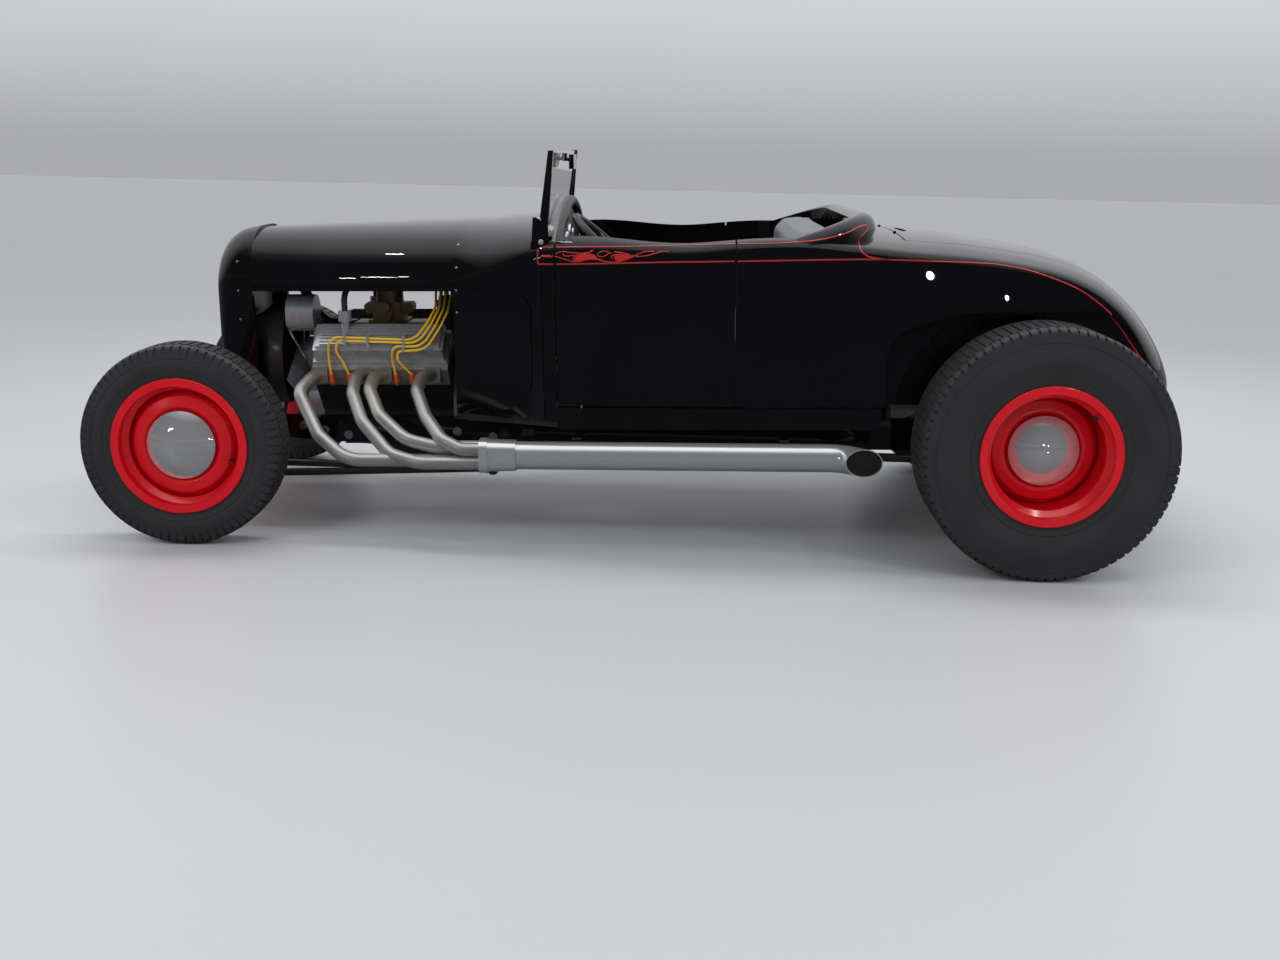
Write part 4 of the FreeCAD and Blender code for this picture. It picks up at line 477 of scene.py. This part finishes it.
def tyre_profile(radius, half, rim_half, grooves):
    """(radius, y, how deep a shoulder cut sinks it, how deep a rib cut sinks it), from one bead over to the other."""
    bead, crown = rim_half - 0.0003, half - 0.012
    middle = (BEAD_R + radius) / 2
    corners = [(BEAD_R, bead), (FLANGE_R, bead), (middle, half), (radius - 0.006, crown), (radius, crown - 0.026),
               (radius, 0)]
    wall = rounded_line(corners, [0, (radius - BEAD_R) * 0.42, 0.014, 0.060], 7)
    cuts = []
    for groove in grooves:
        foot = GROOVE_HALF * 0.7
        cuts += [(groove + GROOVE_HALF, 0), (groove + foot, GROOVE_DEEP), (groove - foot, GROOVE_DEEP),
                 (groove - GROOVE_HALF, 0)]
    line = []
    for p, q in zip(wall, wall[1:]):
        if p.x < middle or not any(abs(p.y - groove) < GROOVE_HALF for groove in grooves):
            line.append((p.x, p.y))
        for ring in (RING_LOW, radius - RING_UNDER_TREAD):
            if p.x < ring <= q.x:
                y = p.lerp(q, (ring - p.x) / (q.x - p.x)).y
                line += [(ring - 0.0018, y - 0.0001), (ring - 0.001, y + 0.0013),
                         (ring + 0.001, y + 0.0013), (ring + 0.0018, y - 0.0001)]
        for y, deep in cuts:
            if p.x > middle and q.y < y <= p.y:
                line.append((p.lerp(q, (p.y - y) / (p.y - q.y)).x - deep, y))
    profile = []
    for r, y in line:
        on_shoulder = min(max((r - radius + 0.026) / 0.014, 0.0), 1.0) if y > grooves[0] else 0.0
        on_rib = 1.0 if r > radius - 0.004 and y < grooves[0] else 0.0
        profile.append((r, y, SLOT_DEEP * on_shoulder, SLOT_DEEP * on_rib))
    return profile + [(r, -y, a, b) for r, y, a, b in reversed(profile)]


def tyres(end, centre, radius, half, rim_half, grooves, lugs):
    """One tyre turned about its own centre, then set on the left and the right wheel."""
    profile = tyre_profile(radius, half, rim_half, grooves)
    turned = bmesh.new()
    ring = [turned.verts.new((r, y, 0)) for r, y, _, _ in profile]
    edges = [turned.edges.new(pair) for pair in zip(ring, ring[1:] + ring[:1])]
    steps = lugs * len(PITCH_CUTS)
    sinks = {(round(r, 5), round(y, 5)): (a, b) for r, y, a, b in profile}
    bmesh.ops.spin(turned, geom=ring + edges, cent=(0, 0, 0), axis=(0, 1, 0), angle=math.tau, steps=steps,
                   use_merge=True)
    for vert in turned.verts:
        r, y = math.hypot(vert.co.x, vert.co.z), vert.co.y
        step = round(math.atan2(vert.co.z, vert.co.x) % math.tau / math.tau * steps) % steps
        lug, cut = divmod(step, len(PITCH_CUTS))
        angle = (lug + PITCH_CUTS[cut]) / lugs * math.tau
        shoulder, rib = sinks.get((round(r, 5), round(y, 5)), (0, 0))
        sink = shoulder if cut in (2, 3) else rib if cut in (6, 7) else 0
        if abs(y) > half - 0.03:
            y -= math.copysign(sink * 0.5, y)
        r -= sink
        vert.co = (r * math.cos(angle), y, r * math.sin(angle))
    bmesh.ops.recalc_face_normals(turned, faces=turned.faces)
    smooth(turned, 28)
    for side, hand in SIDES:
        mesh = turned.copy()
        bmesh.ops.translate(mesh, vec=(centre.x, centre.y * side, centre.z), verts=mesh.verts)
        piece = made(f"{end}_tread_{hand}", mesh, f"{end}_road_wheel_{hand}", rubber)
        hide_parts(f"{end}_tyre_{hand}")
    turned.free()


tyres("front", car(-1314.5, 650, 0), 0.313, 0.083, 0.069, (0.042, 0.014), 72)
tyres("rear", car(1314.5, 752, 0), 0.381, 0.1345, 0.114, (0.082, 0.050, 0.017), 84)

# Wheels: pressed steel in bright gloss red, each with a rubber valve stem through the rim and a chromed domed cap
# pressed over the hub.
wheel_red = Finish("wheel red")
wheel_red.set(Base_Color=wheel_red.mix(wheel_red.noise(6.0), (0.60, 0.003, 0.010), (0.68, 0.006, 0.015)), Roughness=0.2,
              Coat_Weight=1.0, Coat_Roughness=0.03, Normal=wheel_red.bump(wheel_red.noise(40.0, 2.0), 0.0002, 0.25))
chrome = Finish("chrome plate")
chrome.set(Base_Color=chrome.mix(chrome.noise(50.0), (0.84, 0.85, 0.87), (0.90, 0.91, 0.93)), Metallic=0.80,
           Roughness=chrome.noise(60.0, 3.0) * 0.05 + 0.02)
for end in ("front", "rear"):
    for hand in ("left", "right"):
        wear(f"{end}_wheel_{hand}", wheel_red)
        wear(f"{end}_cap_{hand}", chrome)
STEM_SIDES = 20
STEM_STEPS = ((-0.001, 0.004, 0.0070, 0.0062), (0.004, 0.020, 0.0040, 0.0036), (0.020, 0.029, 0.0044, 0.0040))
for end, x, z in (("front", -1166, -49), ("rear", 1445, 111)):
    for side, hand in SIDES:
        start = car(x, side * 1000, z)
        spot = skins[f"{end}_wheel_{hand}"].ray_cast(start, Vector((0, -side, 0)), 1.0)[0]
        mesh = bmesh.new()
        turn = Matrix.Translation(spot) @ Matrix.Rotation(math.radians(-90 * side), 4, "X")
        for low, high, wide, tip in STEM_STEPS:
            at = turn @ Matrix.Translation((0, 0, (low + high) / 2))
            bmesh.ops.create_cone(mesh, cap_ends=True, segments=STEM_SIDES, radius1=wide, radius2=tip,
                                  depth=high - low, matrix=at)
        rims = [edge for edge in mesh.edges if len(edge.link_faces) == 2 and edge.calc_face_angle(0) > 1.0]
        bmesh.ops.bevel(mesh, geom=rims, offset=0.0008, segments=2, profile=0.5, material=-1, affect="EDGES")
        smooth(mesh)
        made(f"valve_stem_{end}_{hand}", mesh, f"{end}_road_wheel_{hand}", rubber)

# Chassis: boxed rails, crossmembers, axles, springs and links. The rails and sills are in the gloss black of the
# body and the rest is satin, with hex bolts through the rails where brackets and engine mounts are.
satin_black = Finish("satin black")
satin_black.set(Base_Color=satin_black.mix(satin_black.noise(12.0), (0.010, 0.010, 0.011), (0.020, 0.020, 0.022)),
                Roughness=satin_black.noise(30.0) * 0.2 + 0.28, Coat_Weight=0.4, Coat_Roughness=0.15,
                Normal=satin_black.bump(satin_black.noise(220.0, 2.0), 0.0002, 0.3))
for name in ("crossmembers", "gearbox_tunnel", "seat_riser", "floor_pan", "front_axle", "front_suspension",
             "rear_axle", "rear_suspension", "fuel_tank", "tie_rod", "knuckle_left", "knuckle_right", "radiator",
             "steering_column", "grille_bars"):
    wear(name, satin_black)
for name in ("frame", "rear_rails", "sills", "windshield_posts"):
    wear(name, black_paint)
bright_steel = Finish("bright steel")
bright_steel.set(Base_Color=bright_steel.mix(bright_steel.noise(80.0), (0.62, 0.62, 0.63), (0.78, 0.78, 0.80)),
                 Metallic=1.0, Roughness=bright_steel.noise(160.0) * 0.15 + 0.14)


def aimed(at, axis):
    """A place at this point whose upward direction is this one."""
    return Matrix.Translation(at) @ Vector((0, 0, 1)).rotation_difference(axis).to_matrix().to_4x4()


def hex_bolt(mesh, at, axis, across, height):
    """A hex head with chamfered corners, on its washer."""
    place = aimed(at, axis)
    washer = place @ Matrix.Translation((0, 0, height * 0.1))
    bmesh.ops.create_cone(mesh, cap_ends=True, segments=24, radius1=across * 0.78, radius2=across * 0.76,
                          depth=height * 0.24, matrix=washer)
    head = place @ Matrix.Translation((0, 0, height * 0.6))
    corner = across * 0.577
    hexagon = bmesh.ops.create_cone(mesh, cap_ends=True, segments=6, radius1=corner, radius2=corner,
                                    depth=height * 0.8, matrix=head)
    rims = dict.fromkeys(edge for vert in hexagon["verts"] for edge in vert.link_edges)
    bmesh.ops.bevel(mesh, geom=list(rims), offset=across * 0.05, segments=2, profile=0.5, material=-1, affect="EDGES")


BOLT_ACROSS = 0.019
BOLT_HIGH = 0.011
BOLT_SUNK = 0.0002
rail_bolts = {
    "frame": ((-504, -13), (-386, -30), (-1016, 2), (-944, -12), (-866, -28), (-1180, 8)),
    "rear_rails": ((1110, 110), (1150, 118), (1440, 125), (1600, 125)),
}
for side, hand in SIDES:
    mesh = bmesh.new()
    for rail, places in rail_bolts.items():
        for hit in (on_skin((rail,), x, z, side) for x, z in places):
            if hit:
                hex_bolt(mesh, hit[1] - hit[2] * BOLT_SUNK, hit[2], BOLT_ACROSS, BOLT_HIGH)
    made(f"rail_bolts_{hand}", mesh, "chassis", bright_steel)

# Exhaust: stainless tubes with a satin heat haze near the ports, and chromed side pipes whose turned-out tips end in a
# chromed lip round a shallow black face: partly soot, and partly painted shade standing in for the dark of an open
# bore.
stainless = Finish("satin stainless")
_, _, tube_height = stainless.axes()
heat = ((tube_height - 0.36) * 7.0).clamped() * stainless.noise(9.0, 4.0)
stainless.set(Base_Color=stainless.mix(heat, (0.62, 0.61, 0.59), (0.42, 0.38, 0.32)), Metallic=0.85,
              Roughness=stainless.noise(22.0) * 0.16 + 0.3, Normal=stainless.bump(stainless.noise(120.0), 0.0002, 0.3))
wear("headers", stainless)
wear("side_pipes", chrome)
# Painted shade: the black in each tip's recessed face is partly soot and partly the shade inside an open pipe, which
# these closed tips lack.
soot_and_bore_shade = Finish("soot_and_bore_shade")
soot_and_bore_shade.set(Base_Color=soot_and_bore_shade.mix(soot_and_bore_shade.noise(60.0), (0.004, 0.004, 0.004), (0.014, 0.013, 0.012)), Roughness=0.9)
WELD = 0.00002


def welded(name):
    """A CAD node's mesh with the seams between its faces closed."""
    mesh = bmesh.new()
    mesh.from_mesh(nodes[name].data)
    bmesh.ops.remove_doubles(mesh, verts=mesh.verts, dist=WELD)
    return mesh


TIP_OUT = 0.685
TIP_LIFT = 0.0002
TIP_HIGH = 0.004
TIP_WALL = 0.003
MOUTH_DEEP = 0.0034
pipes = welded("side_pipes")
for side, hand in SIDES:
    mouth = [face for face in pipes.faces
             if face.normal.y * side > 0.9 and face.calc_center_median().y * side > TIP_OUT]
    rim = dict.fromkeys(vert for face in mouth for vert in face.verts)
    outline = [vert.co.copy() for vert in rim]
    middle = sum(outline, Vector()) / len(outline)
    outline.sort(key=lambda co: math.atan2(co.z - middle.z, co.x - middle.x))
    ring = bmesh.new()
    lip = ring.faces.new([ring.verts.new(co) for co in outline])
    bmesh.ops.translate(ring, vec=(0, TIP_LIFT * side, 0), verts=ring.verts)
    wall = bmesh.ops.extrude_face_region(ring, geom=[lip])
    raised = [item for item in wall["geom"] if isinstance(item, bmesh.types.BMFace)]
    bmesh.ops.translate(ring, vec=(0, TIP_HIGH * side, 0), verts=raised[0].verts)
    bmesh.ops.inset_region(ring, faces=raised, thickness=TIP_WALL, use_even_offset=True)
    bmesh.ops.inset_region(ring, faces=raised, thickness=0.0002, use_even_offset=True)
    bmesh.ops.translate(ring, vec=(0, -MOUTH_DEEP * side, 0), verts=raised[0].verts)
    bmesh.ops.recalc_face_normals(ring, faces=ring.faces)
    # The recessed face takes the black, which paints the shade of the open bore as well as soot.
    raised[0].material_index = 1
    smooth(ring, 30)
    tip = made(f"pipe_mouth_{hand}", ring, "chassis", chrome)
    tip.data.materials.append(soot_and_bore_shade.material)
pipes.free()

# Engine: enamelled block, cast heads and manifold, a gold-passivated carburettor under a chromed air cleaner, polished
# finned covers, yellow plug leads in orange boots, and black rubber hoses.
block_paint = Finish("block enamel")
block_paint.set(Base_Color=block_paint.mix(block_paint.noise(14.0), (0.012, 0.012, 0.013), (0.030, 0.030, 0.032)),
                Roughness=0.42, Normal=block_paint.bump(block_paint.noise(90.0), 0.0006, 0.5))
wear("engine_block", block_paint)
cast = Finish("cast alloy")
cast.set(Base_Color=cast.mix(cast.noise(30.0), (0.27, 0.26, 0.24), (0.46, 0.44, 0.41)), Metallic=0.40, Roughness=0.46,
         Normal=cast.bump(cast.noise(240.0, 4.0), 0.0006, 0.7))
for name in ("cylinder_heads", "gearbox"):
    wear(name, cast)
induction = Finish("manifold, carburettor and cleaner")
_, _, level = induction.axes()
grain = induction.noise(30.0)
CARBURETTOR_FOOT = 0.6285
CLEANER_FOOT = 0.7560
at_carburettor = level > CARBURETTOR_FOOT
at_cleaner = level > CLEANER_FOOT
cast_colour = induction.mix(grain, (0.26, 0.26, 0.27), (0.42, 0.42, 0.43))
gold_colour = induction.mix(grain, (0.34, 0.25, 0.12), (0.50, 0.40, 0.22))
colour = induction.mix(at_carburettor, cast_colour, gold_colour)
induction.set(Base_Color=induction.mix(at_cleaner, colour, (0.80, 0.81, 0.83)), Metallic=0.95,
              Roughness=(1.0 - at_cleaner) * 0.38 + 0.06,
              Normal=induction.bump(induction.noise(240.0, 4.0) * (1.0 - at_cleaner), 0.0006, 0.6))
wear("intake", induction)
polished = Finish("polished alloy")
polished.set(Base_Color=polished.mix(polished.noise(60.0), (0.50, 0.52, 0.55), (0.74, 0.76, 0.79)), Metallic=0.72,
             Roughness=polished.noise(45.0) * 0.16 + 0.12, Normal=polished.bump(polished.noise(180.0), 0.0002, 0.3))
for name in ("valve_covers", "belt_drive"):
    wear(name, polished)
moulded = Finish("moulded black")
moulded.set(Base_Color=moulded.mix(moulded.noise(40.0), (0.014, 0.014, 0.015), (0.024, 0.024, 0.025)), Roughness=0.45,
            Normal=moulded.bump(moulded.noise(300.0), 0.0002, 0.3))
wear("distributor", moulded)
wear("hoses", rubber)
lead_yellow = Finish("yellow lead jacket")
lead_yellow.set(Base_Color=lead_yellow.mix(lead_yellow.noise(35.0), (0.74, 0.44, 0.02), (0.86, 0.56, 0.04)),
                Roughness=0.38)
wear("plug_leads", lead_yellow)
boot_orange = Finish("orange boot")
boot_orange.set(Base_Color=boot_orange.mix(boot_orange.noise(30.0), (0.60, 0.08, 0.02), (0.72, 0.13, 0.03)),
                Roughness=0.5, Normal=boot_orange.bump(boot_orange.noise(200.0), 0.0002, 0.3))
wear("plug_boots", boot_orange)

# Fan shroud: pressed steel in satin black, screwed round the back of the radiator and drawn out to a ring that closes
# on the fan, with its lip rolled outward.
FAN_Z = 195.0
SHROUD_FLOOR = 36.0
SHROUD_SIDES = 64
shroud_loops = ((-1233.5, 143, 145, 0.0), (-1220, 143, 145, 0.0), (-1166, 197, 197, 1.0), (-1124, 197, 197, 1.0),
                (-1120, 199, 199, 1.0), (-1119, 203, 203, 1.0))
mesh = bmesh.new()
loops = []
for x, half_wide, half_tall, roundness in shroud_loops:
    ring = []
    for step in range(SHROUD_SIDES):
        turn = 2 * math.pi * step / SHROUD_SIDES
        ca, sa = math.cos(turn), math.sin(turn)
        square = 1 / max(abs(ca), abs(sa))
        reach = square + (1.0 - square) * roundness
        height = max(SHROUD_FLOOR, FAN_Z + sa * half_tall * reach)
        ring.append(mesh.verts.new(car(x, ca * half_wide * reach, height)))
    loops.append([mesh.edges.new((a, b)) for a, b in zip(ring, ring[1:] + ring[:1])])
for front, back in zip(loops, loops[1:]):
    bmesh.ops.bridge_loops(mesh, edges=front + back)
bmesh.ops.recalc_face_normals(mesh, faces=mesh.faces)
bmesh.ops.solidify(mesh, geom=mesh.faces[:], thickness=0.0016)
bmesh.ops.recalc_face_normals(mesh, faces=mesh.faces)
smooth(mesh, 40)
made("fan_shroud", mesh, "chassis", satin_black)

# Seat: a bench of foam under grey pebbled vinyl, the cushion and the back each sewn in straight pleats. The filling
# rounds both pads, and the seams draw the vinyl in between the pleats.
grey_vinyl = Finish("grey vinyl")
pebble = grey_vinyl.add("ShaderNodeTexVoronoi", {"feature": "DISTANCE_TO_EDGE"},
                        {"Vector": grey_vinyl.place, "Scale": 420.0})
grey_vinyl.set(Base_Color=grey_vinyl.mix(grey_vinyl.noise(14.0), (0.115, 0.120, 0.130), (0.170, 0.176, 0.190)),
               Roughness=0.42, Normal=grey_vinyl.bump(pebble, 0.0004, 0.3))
PLEAT = 0.062
PLEAT_DEEP = 0.007
PAD_VOXEL = 0.009
PAD_CAP = 0.010
PAD_SHRINK = 0.014
PAD_HEM = 0.012
PAD_HEM_FADE = 0.02
PAD_PRESSURE = 4.0
PAD_INSTANTS = 20


def stuffed(name, node):
    """The CAD pad made round by cloth under pressure, then drawn in along its pleats."""
    mesh = welded(node)
    bmesh.ops.recalc_face_normals(mesh, faces=mesh.faces)
    low = [min(vert.co[i] for vert in mesh.verts) for i in range(3)]
    high = [max(vert.co[i] for vert in mesh.verts) for i in range(3)]
    middle = Vector([(a + b) / 2 for a, b in zip(low, high)])
    shrink = [1 - PAD_SHRINK / (b - a) for a, b in zip(low, high)]
    for vert in mesh.verts:
        vert.co = middle + Vector([(c - m) * k for c, m, k in zip(vert.co, middle, shrink)])
    data = bpy.data.meshes.new(name)
    mesh.to_mesh(data)
    mesh.free()
    pad = bpy.data.objects.new(name, data)
    scene.collection.objects.link(pad)
    remesh = pad.modifiers.new("even mesh", "REMESH")
    remesh.mode = "VOXEL"
    remesh.voxel_size = PAD_VOXEL
    pad.data = bpy.data.meshes.new_from_object(pad.evaluated_get(bpy.context.evaluated_depsgraph_get()))
    pad.modifiers.clear()
    start = [vert.co.copy() for vert in pad.data.vertices]
    cloth = pad.modifiers.new("stuffing", "CLOTH")
    cloth.settings.use_pressure = True
    cloth.settings.uniform_pressure_force = PAD_PRESSURE
    cloth.settings.effector_weights.gravity = 0.0
    for instant in range(1, PAD_INSTANTS + 1):
        scene.frame_set(instant)
    puffed = bpy.data.meshes.new_from_object(pad.evaluated_get(bpy.context.evaluated_depsgraph_get()))
    pad.modifiers.clear()
    scene.frame_set(1)
    for vert, before, after in zip(pad.data.vertices, start, puffed.vertices):
        move = after.co - before
        if move.length > PAD_CAP:
            move.length = PAD_CAP
        vert.co = before + move
    mesh = bmesh.new()
    mesh.from_mesh(pad.data)
    mesh.normal_update()
    for vert in mesh.verts:
        off = abs((vert.co.y / PLEAT + 0.5) % 1.0 - 0.5) * 2
        edge = min(1.0, max(0.0, (high[1] - PAD_HEM - abs(vert.co.y)) / PAD_HEM_FADE))
        if abs(vert.normal.y) < 0.7 and vert.normal.z > -0.5:
            vert.co -= vert.normal * PLEAT_DEEP * edge * (1 - off) ** 2
    soften(mesh)
    mesh.to_mesh(pad.data)
    mesh.free()
    finer = pad.modifiers.new("finer", "SUBSURF")
    finer.levels = 1
    finer.render_levels = 1
    pad.data.materials.clear()
    pad.data.materials.append(grey_vinyl.material)
    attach(pad, "chassis")
    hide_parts(node)


stuffed("seat_cushion_cover", "seat_cushion")
stuffed("seat_back_cover", "seat_back")

# Dash: a panel in black leather under a padded hoop of grey vinyl that runs over it from door to door, with five
# gauges in chromed rings.
black_leather = Finish("black leather")
fine_grain = black_leather.add("ShaderNodeTexVoronoi", {"feature": "DISTANCE_TO_EDGE"},
                               {"Vector": black_leather.place, "Scale": 600.0})
black_leather.set(Base_Color=black_leather.mix(black_leather.noise(20.0), (0.014, 0.014, 0.015), (0.026, 0.026, 0.027)),
                  Roughness=0.42, Normal=black_leather.bump(fine_grain, 0.0003, 0.3))
for name in ("dash", "steering_wheel", "controls"):
    wear(name, black_leather)
DASH_X = -171.7
HOOP_HALF = 524.0
HOOP_SIDE = 592.0
HOOP_TOP = 716.0
HOOP_R = 18.6
rise = HOOP_TOP - HOOP_SIDE
sweep_r = (HOOP_HALF ** 2 + rise ** 2) / (2 * rise)
half_angle = math.asin(HOOP_HALF / sweep_r)
hoop_centre = car(DASH_X, 0, HOOP_TOP - sweep_r)
hoop_axis = (car(1, 0, 0) - car(0, 0, 0)).normalized()
mesh = bmesh.new()
top_point = car(DASH_X, 0, HOOP_TOP)
turn = Matrix.Translation(hoop_centre) @ Matrix.Rotation(-half_angle, 4, hoop_axis)
section = turn @ Matrix.Translation(top_point - hoop_centre) @ Matrix.Rotation(math.radians(90), 4, "X")
bmesh.ops.create_circle(mesh, cap_ends=True, segments=24, radius=HOOP_R / 1000, matrix=section)
bmesh.ops.spin(mesh, geom=mesh.faces[:] + mesh.edges[:] + mesh.verts[:], cent=hoop_centre, axis=hoop_axis,
               angle=half_angle * 2, steps=64)
bmesh.ops.recalc_face_normals(mesh, faces=mesh.faces)
smooth(mesh, 50)
hoop = made("dash_hoop", mesh, "chassis", grey_vinyl)
dial_black = Finish("gauge face")
dial_black.set(Base_Color=dial_black.mix(dial_black.noise(90.0), (0.008, 0.008, 0.009), (0.016, 0.016, 0.017)),
               Roughness=0.25, Coat_Weight=1.0)
PANEL_BACK = 14.2
GAUGE_SIDES = 40
GAUGE_DEEP = 0.007
GAUGE_FACE = 0.0044
gauges = ((-300, 575, 46), (-190, 588, 26), (-120, 590, 26), (0, 592, 46), (120, 590, 26))
for number, (y, z, radius) in enumerate(gauges):
    at = car(DASH_X + PANEL_BACK, y, z)
    place = aimed(at, hoop_axis)
    mesh = bmesh.new()
    bmesh.ops.create_cone(mesh, cap_ends=True, segments=GAUGE_SIDES, radius1=radius / 1000 + 0.004,
                          radius2=radius / 1000 + 0.002, depth=GAUGE_DEEP,
                          matrix=place @ Matrix.Translation((0, 0, GAUGE_DEEP / 2)))
    face = max(mesh.faces, key=lambda f: (f.calc_center_median() - at).dot(hoop_axis))
    bmesh.ops.inset_region(mesh, faces=[face], thickness=0.004, use_even_offset=True)
    bmesh.ops.inset_region(mesh, faces=[face], thickness=0.0005, depth=-0.003, use_even_offset=True)
    smooth(mesh, 30)
    made(f"gauge_ring_{number}", mesh, "chassis", chrome)
    mesh = bmesh.new()
    bmesh.ops.create_circle(mesh, cap_ends=True, segments=GAUGE_SIDES, radius=radius / 1000 - 0.0022,
                            matrix=place @ Matrix.Translation((0, 0, GAUGE_FACE)))
    bmesh.ops.inset_region(mesh, faces=mesh.faces[:], thickness=radius / 1000 * 0.5, depth=-0.0002)
    made(f"gauge_face_{number}", mesh, "chassis", dial_black)

# Windshield: one flat pane of clear safety glass with a slight green in it, clamped between two lacquered posts. Each
# post is held to the cowl by chromed dome bolts.
glass = Finish("clear glass")
glass.set(Base_Color=glass.mix(glass.noise(3.0), (0.95, 0.985, 0.975), (0.97, 0.99, 0.985)), Roughness=0.0, IOR=1.45,
          Transmission_Weight=1.0)
wear("windshield_glass", glass)
DOME_FLAT = 0.55
post_bolts = ((-209, 548, 676, 7), (-196, 548, 655, 7), (-204, 556, 609, 8.5))
for side, hand in SIDES:
    mesh = bmesh.new()
    for x, y, z, radius in post_bolts:
        at = car(x, y * side, z)
        dome = bmesh.ops.create_uvsphere(mesh, u_segments=20, v_segments=12, radius=radius / 1000)
        bmesh.ops.scale(mesh, vec=(1, DOME_FLAT, 1), verts=dome["verts"])
        bmesh.ops.translate(mesh, vec=at, verts=dome["verts"])
    soften(mesh)
    made(f"post_bolts_{hand}", mesh, "chassis", chrome)

# Door seals: strips of black rubber stuck in the door openings, a little way in from the skin. They close the gaps at
# the front and the rear of each door.
SEAL_IN = 9
SEAL_THICK = 6
SEAL_HEIGHTS = range(110, 606, 12)
seals = (("rear", "rear_body", 406, 397.5, 393.4), ("front", "cowl", -170, -164.7, -161.5))
for side, hand in SIDES:
    for place, panel, skin_x, fixed_x, free_x in seals:
        mesh = bmesh.new()
        rings = []
        for z in SEAL_HEIGHTS:
            hit = on_skin((panel,), skin_x, z, side)
            if hit:
                outer = hit[1].y * 1000 - SEAL_IN * side
                inner = outer - SEAL_THICK * side
                corners = ((fixed_x, outer), (free_x, outer), (free_x, inner), (fixed_x, inner))
                rings.append([mesh.verts.new(car(x, y, z)) for x, y in corners])
        loops = [[mesh.edges.new((ring[i], ring[(i + 1) % 4])) for i in range(4)] for ring in rings]
        for below, above in zip(loops, loops[1:]):
            bmesh.ops.bridge_loops(mesh, edges=below + above)
        mesh.faces.new(rings[0])
        mesh.faces.new(rings[-1])
        bmesh.ops.recalc_face_normals(mesh, faces=mesh.faces)
        smooth(mesh, 40)
        made(f"door_seal_{place}_{hand}", mesh, "chassis", rubber)

# Studs: small polished steel heads, domed, in a row down the back of the grille shell and another down the seam of the
# cowl. Each is pressed through the panel and clenched behind it.
STUD_R = 0.0045
studs = (("grille_shell", -1248, (334, 430, 526)), ("cowl", -487, (380, 450, 520, 590)))
for side, hand in SIDES:
    mesh = bmesh.new()
    for panel, x, heights in studs:
        for z in heights:
            hit = on_skin((panel,), x, z, side)
            if hit:
                head = bmesh.ops.create_uvsphere(mesh, u_segments=16, v_segments=10, radius=STUD_R)
                bmesh.ops.scale(mesh, vec=(1, 1, 0.5), verts=head["verts"])
                bmesh.ops.transform(mesh, matrix=aimed(hit[1], hit[2]), verts=head["verts"])
    soften(mesh)
    made(f"panel_studs_{hand}", mesh, "chassis", bright_steel)

# Tail lamps: round lenses moulded in clear red plastic, with fine reeds across them, let almost flush into the tail
# and held from inside.
lens_red = Finish("red lens")
_, _, up_down = lens_red.axes()
reeds = up_down.math("SINE", up_down * 1400.0)
lens_red.set(Base_Color=lens_red.mix(lens_red.noise(20.0), (0.42, 0.006, 0.006), (0.56, 0.010, 0.010)), Roughness=0.08,
             Coat_Weight=1.0, Normal=lens_red.bump(reeds, 0.0006, 0.4))
wear("tail_lamps", lens_red)
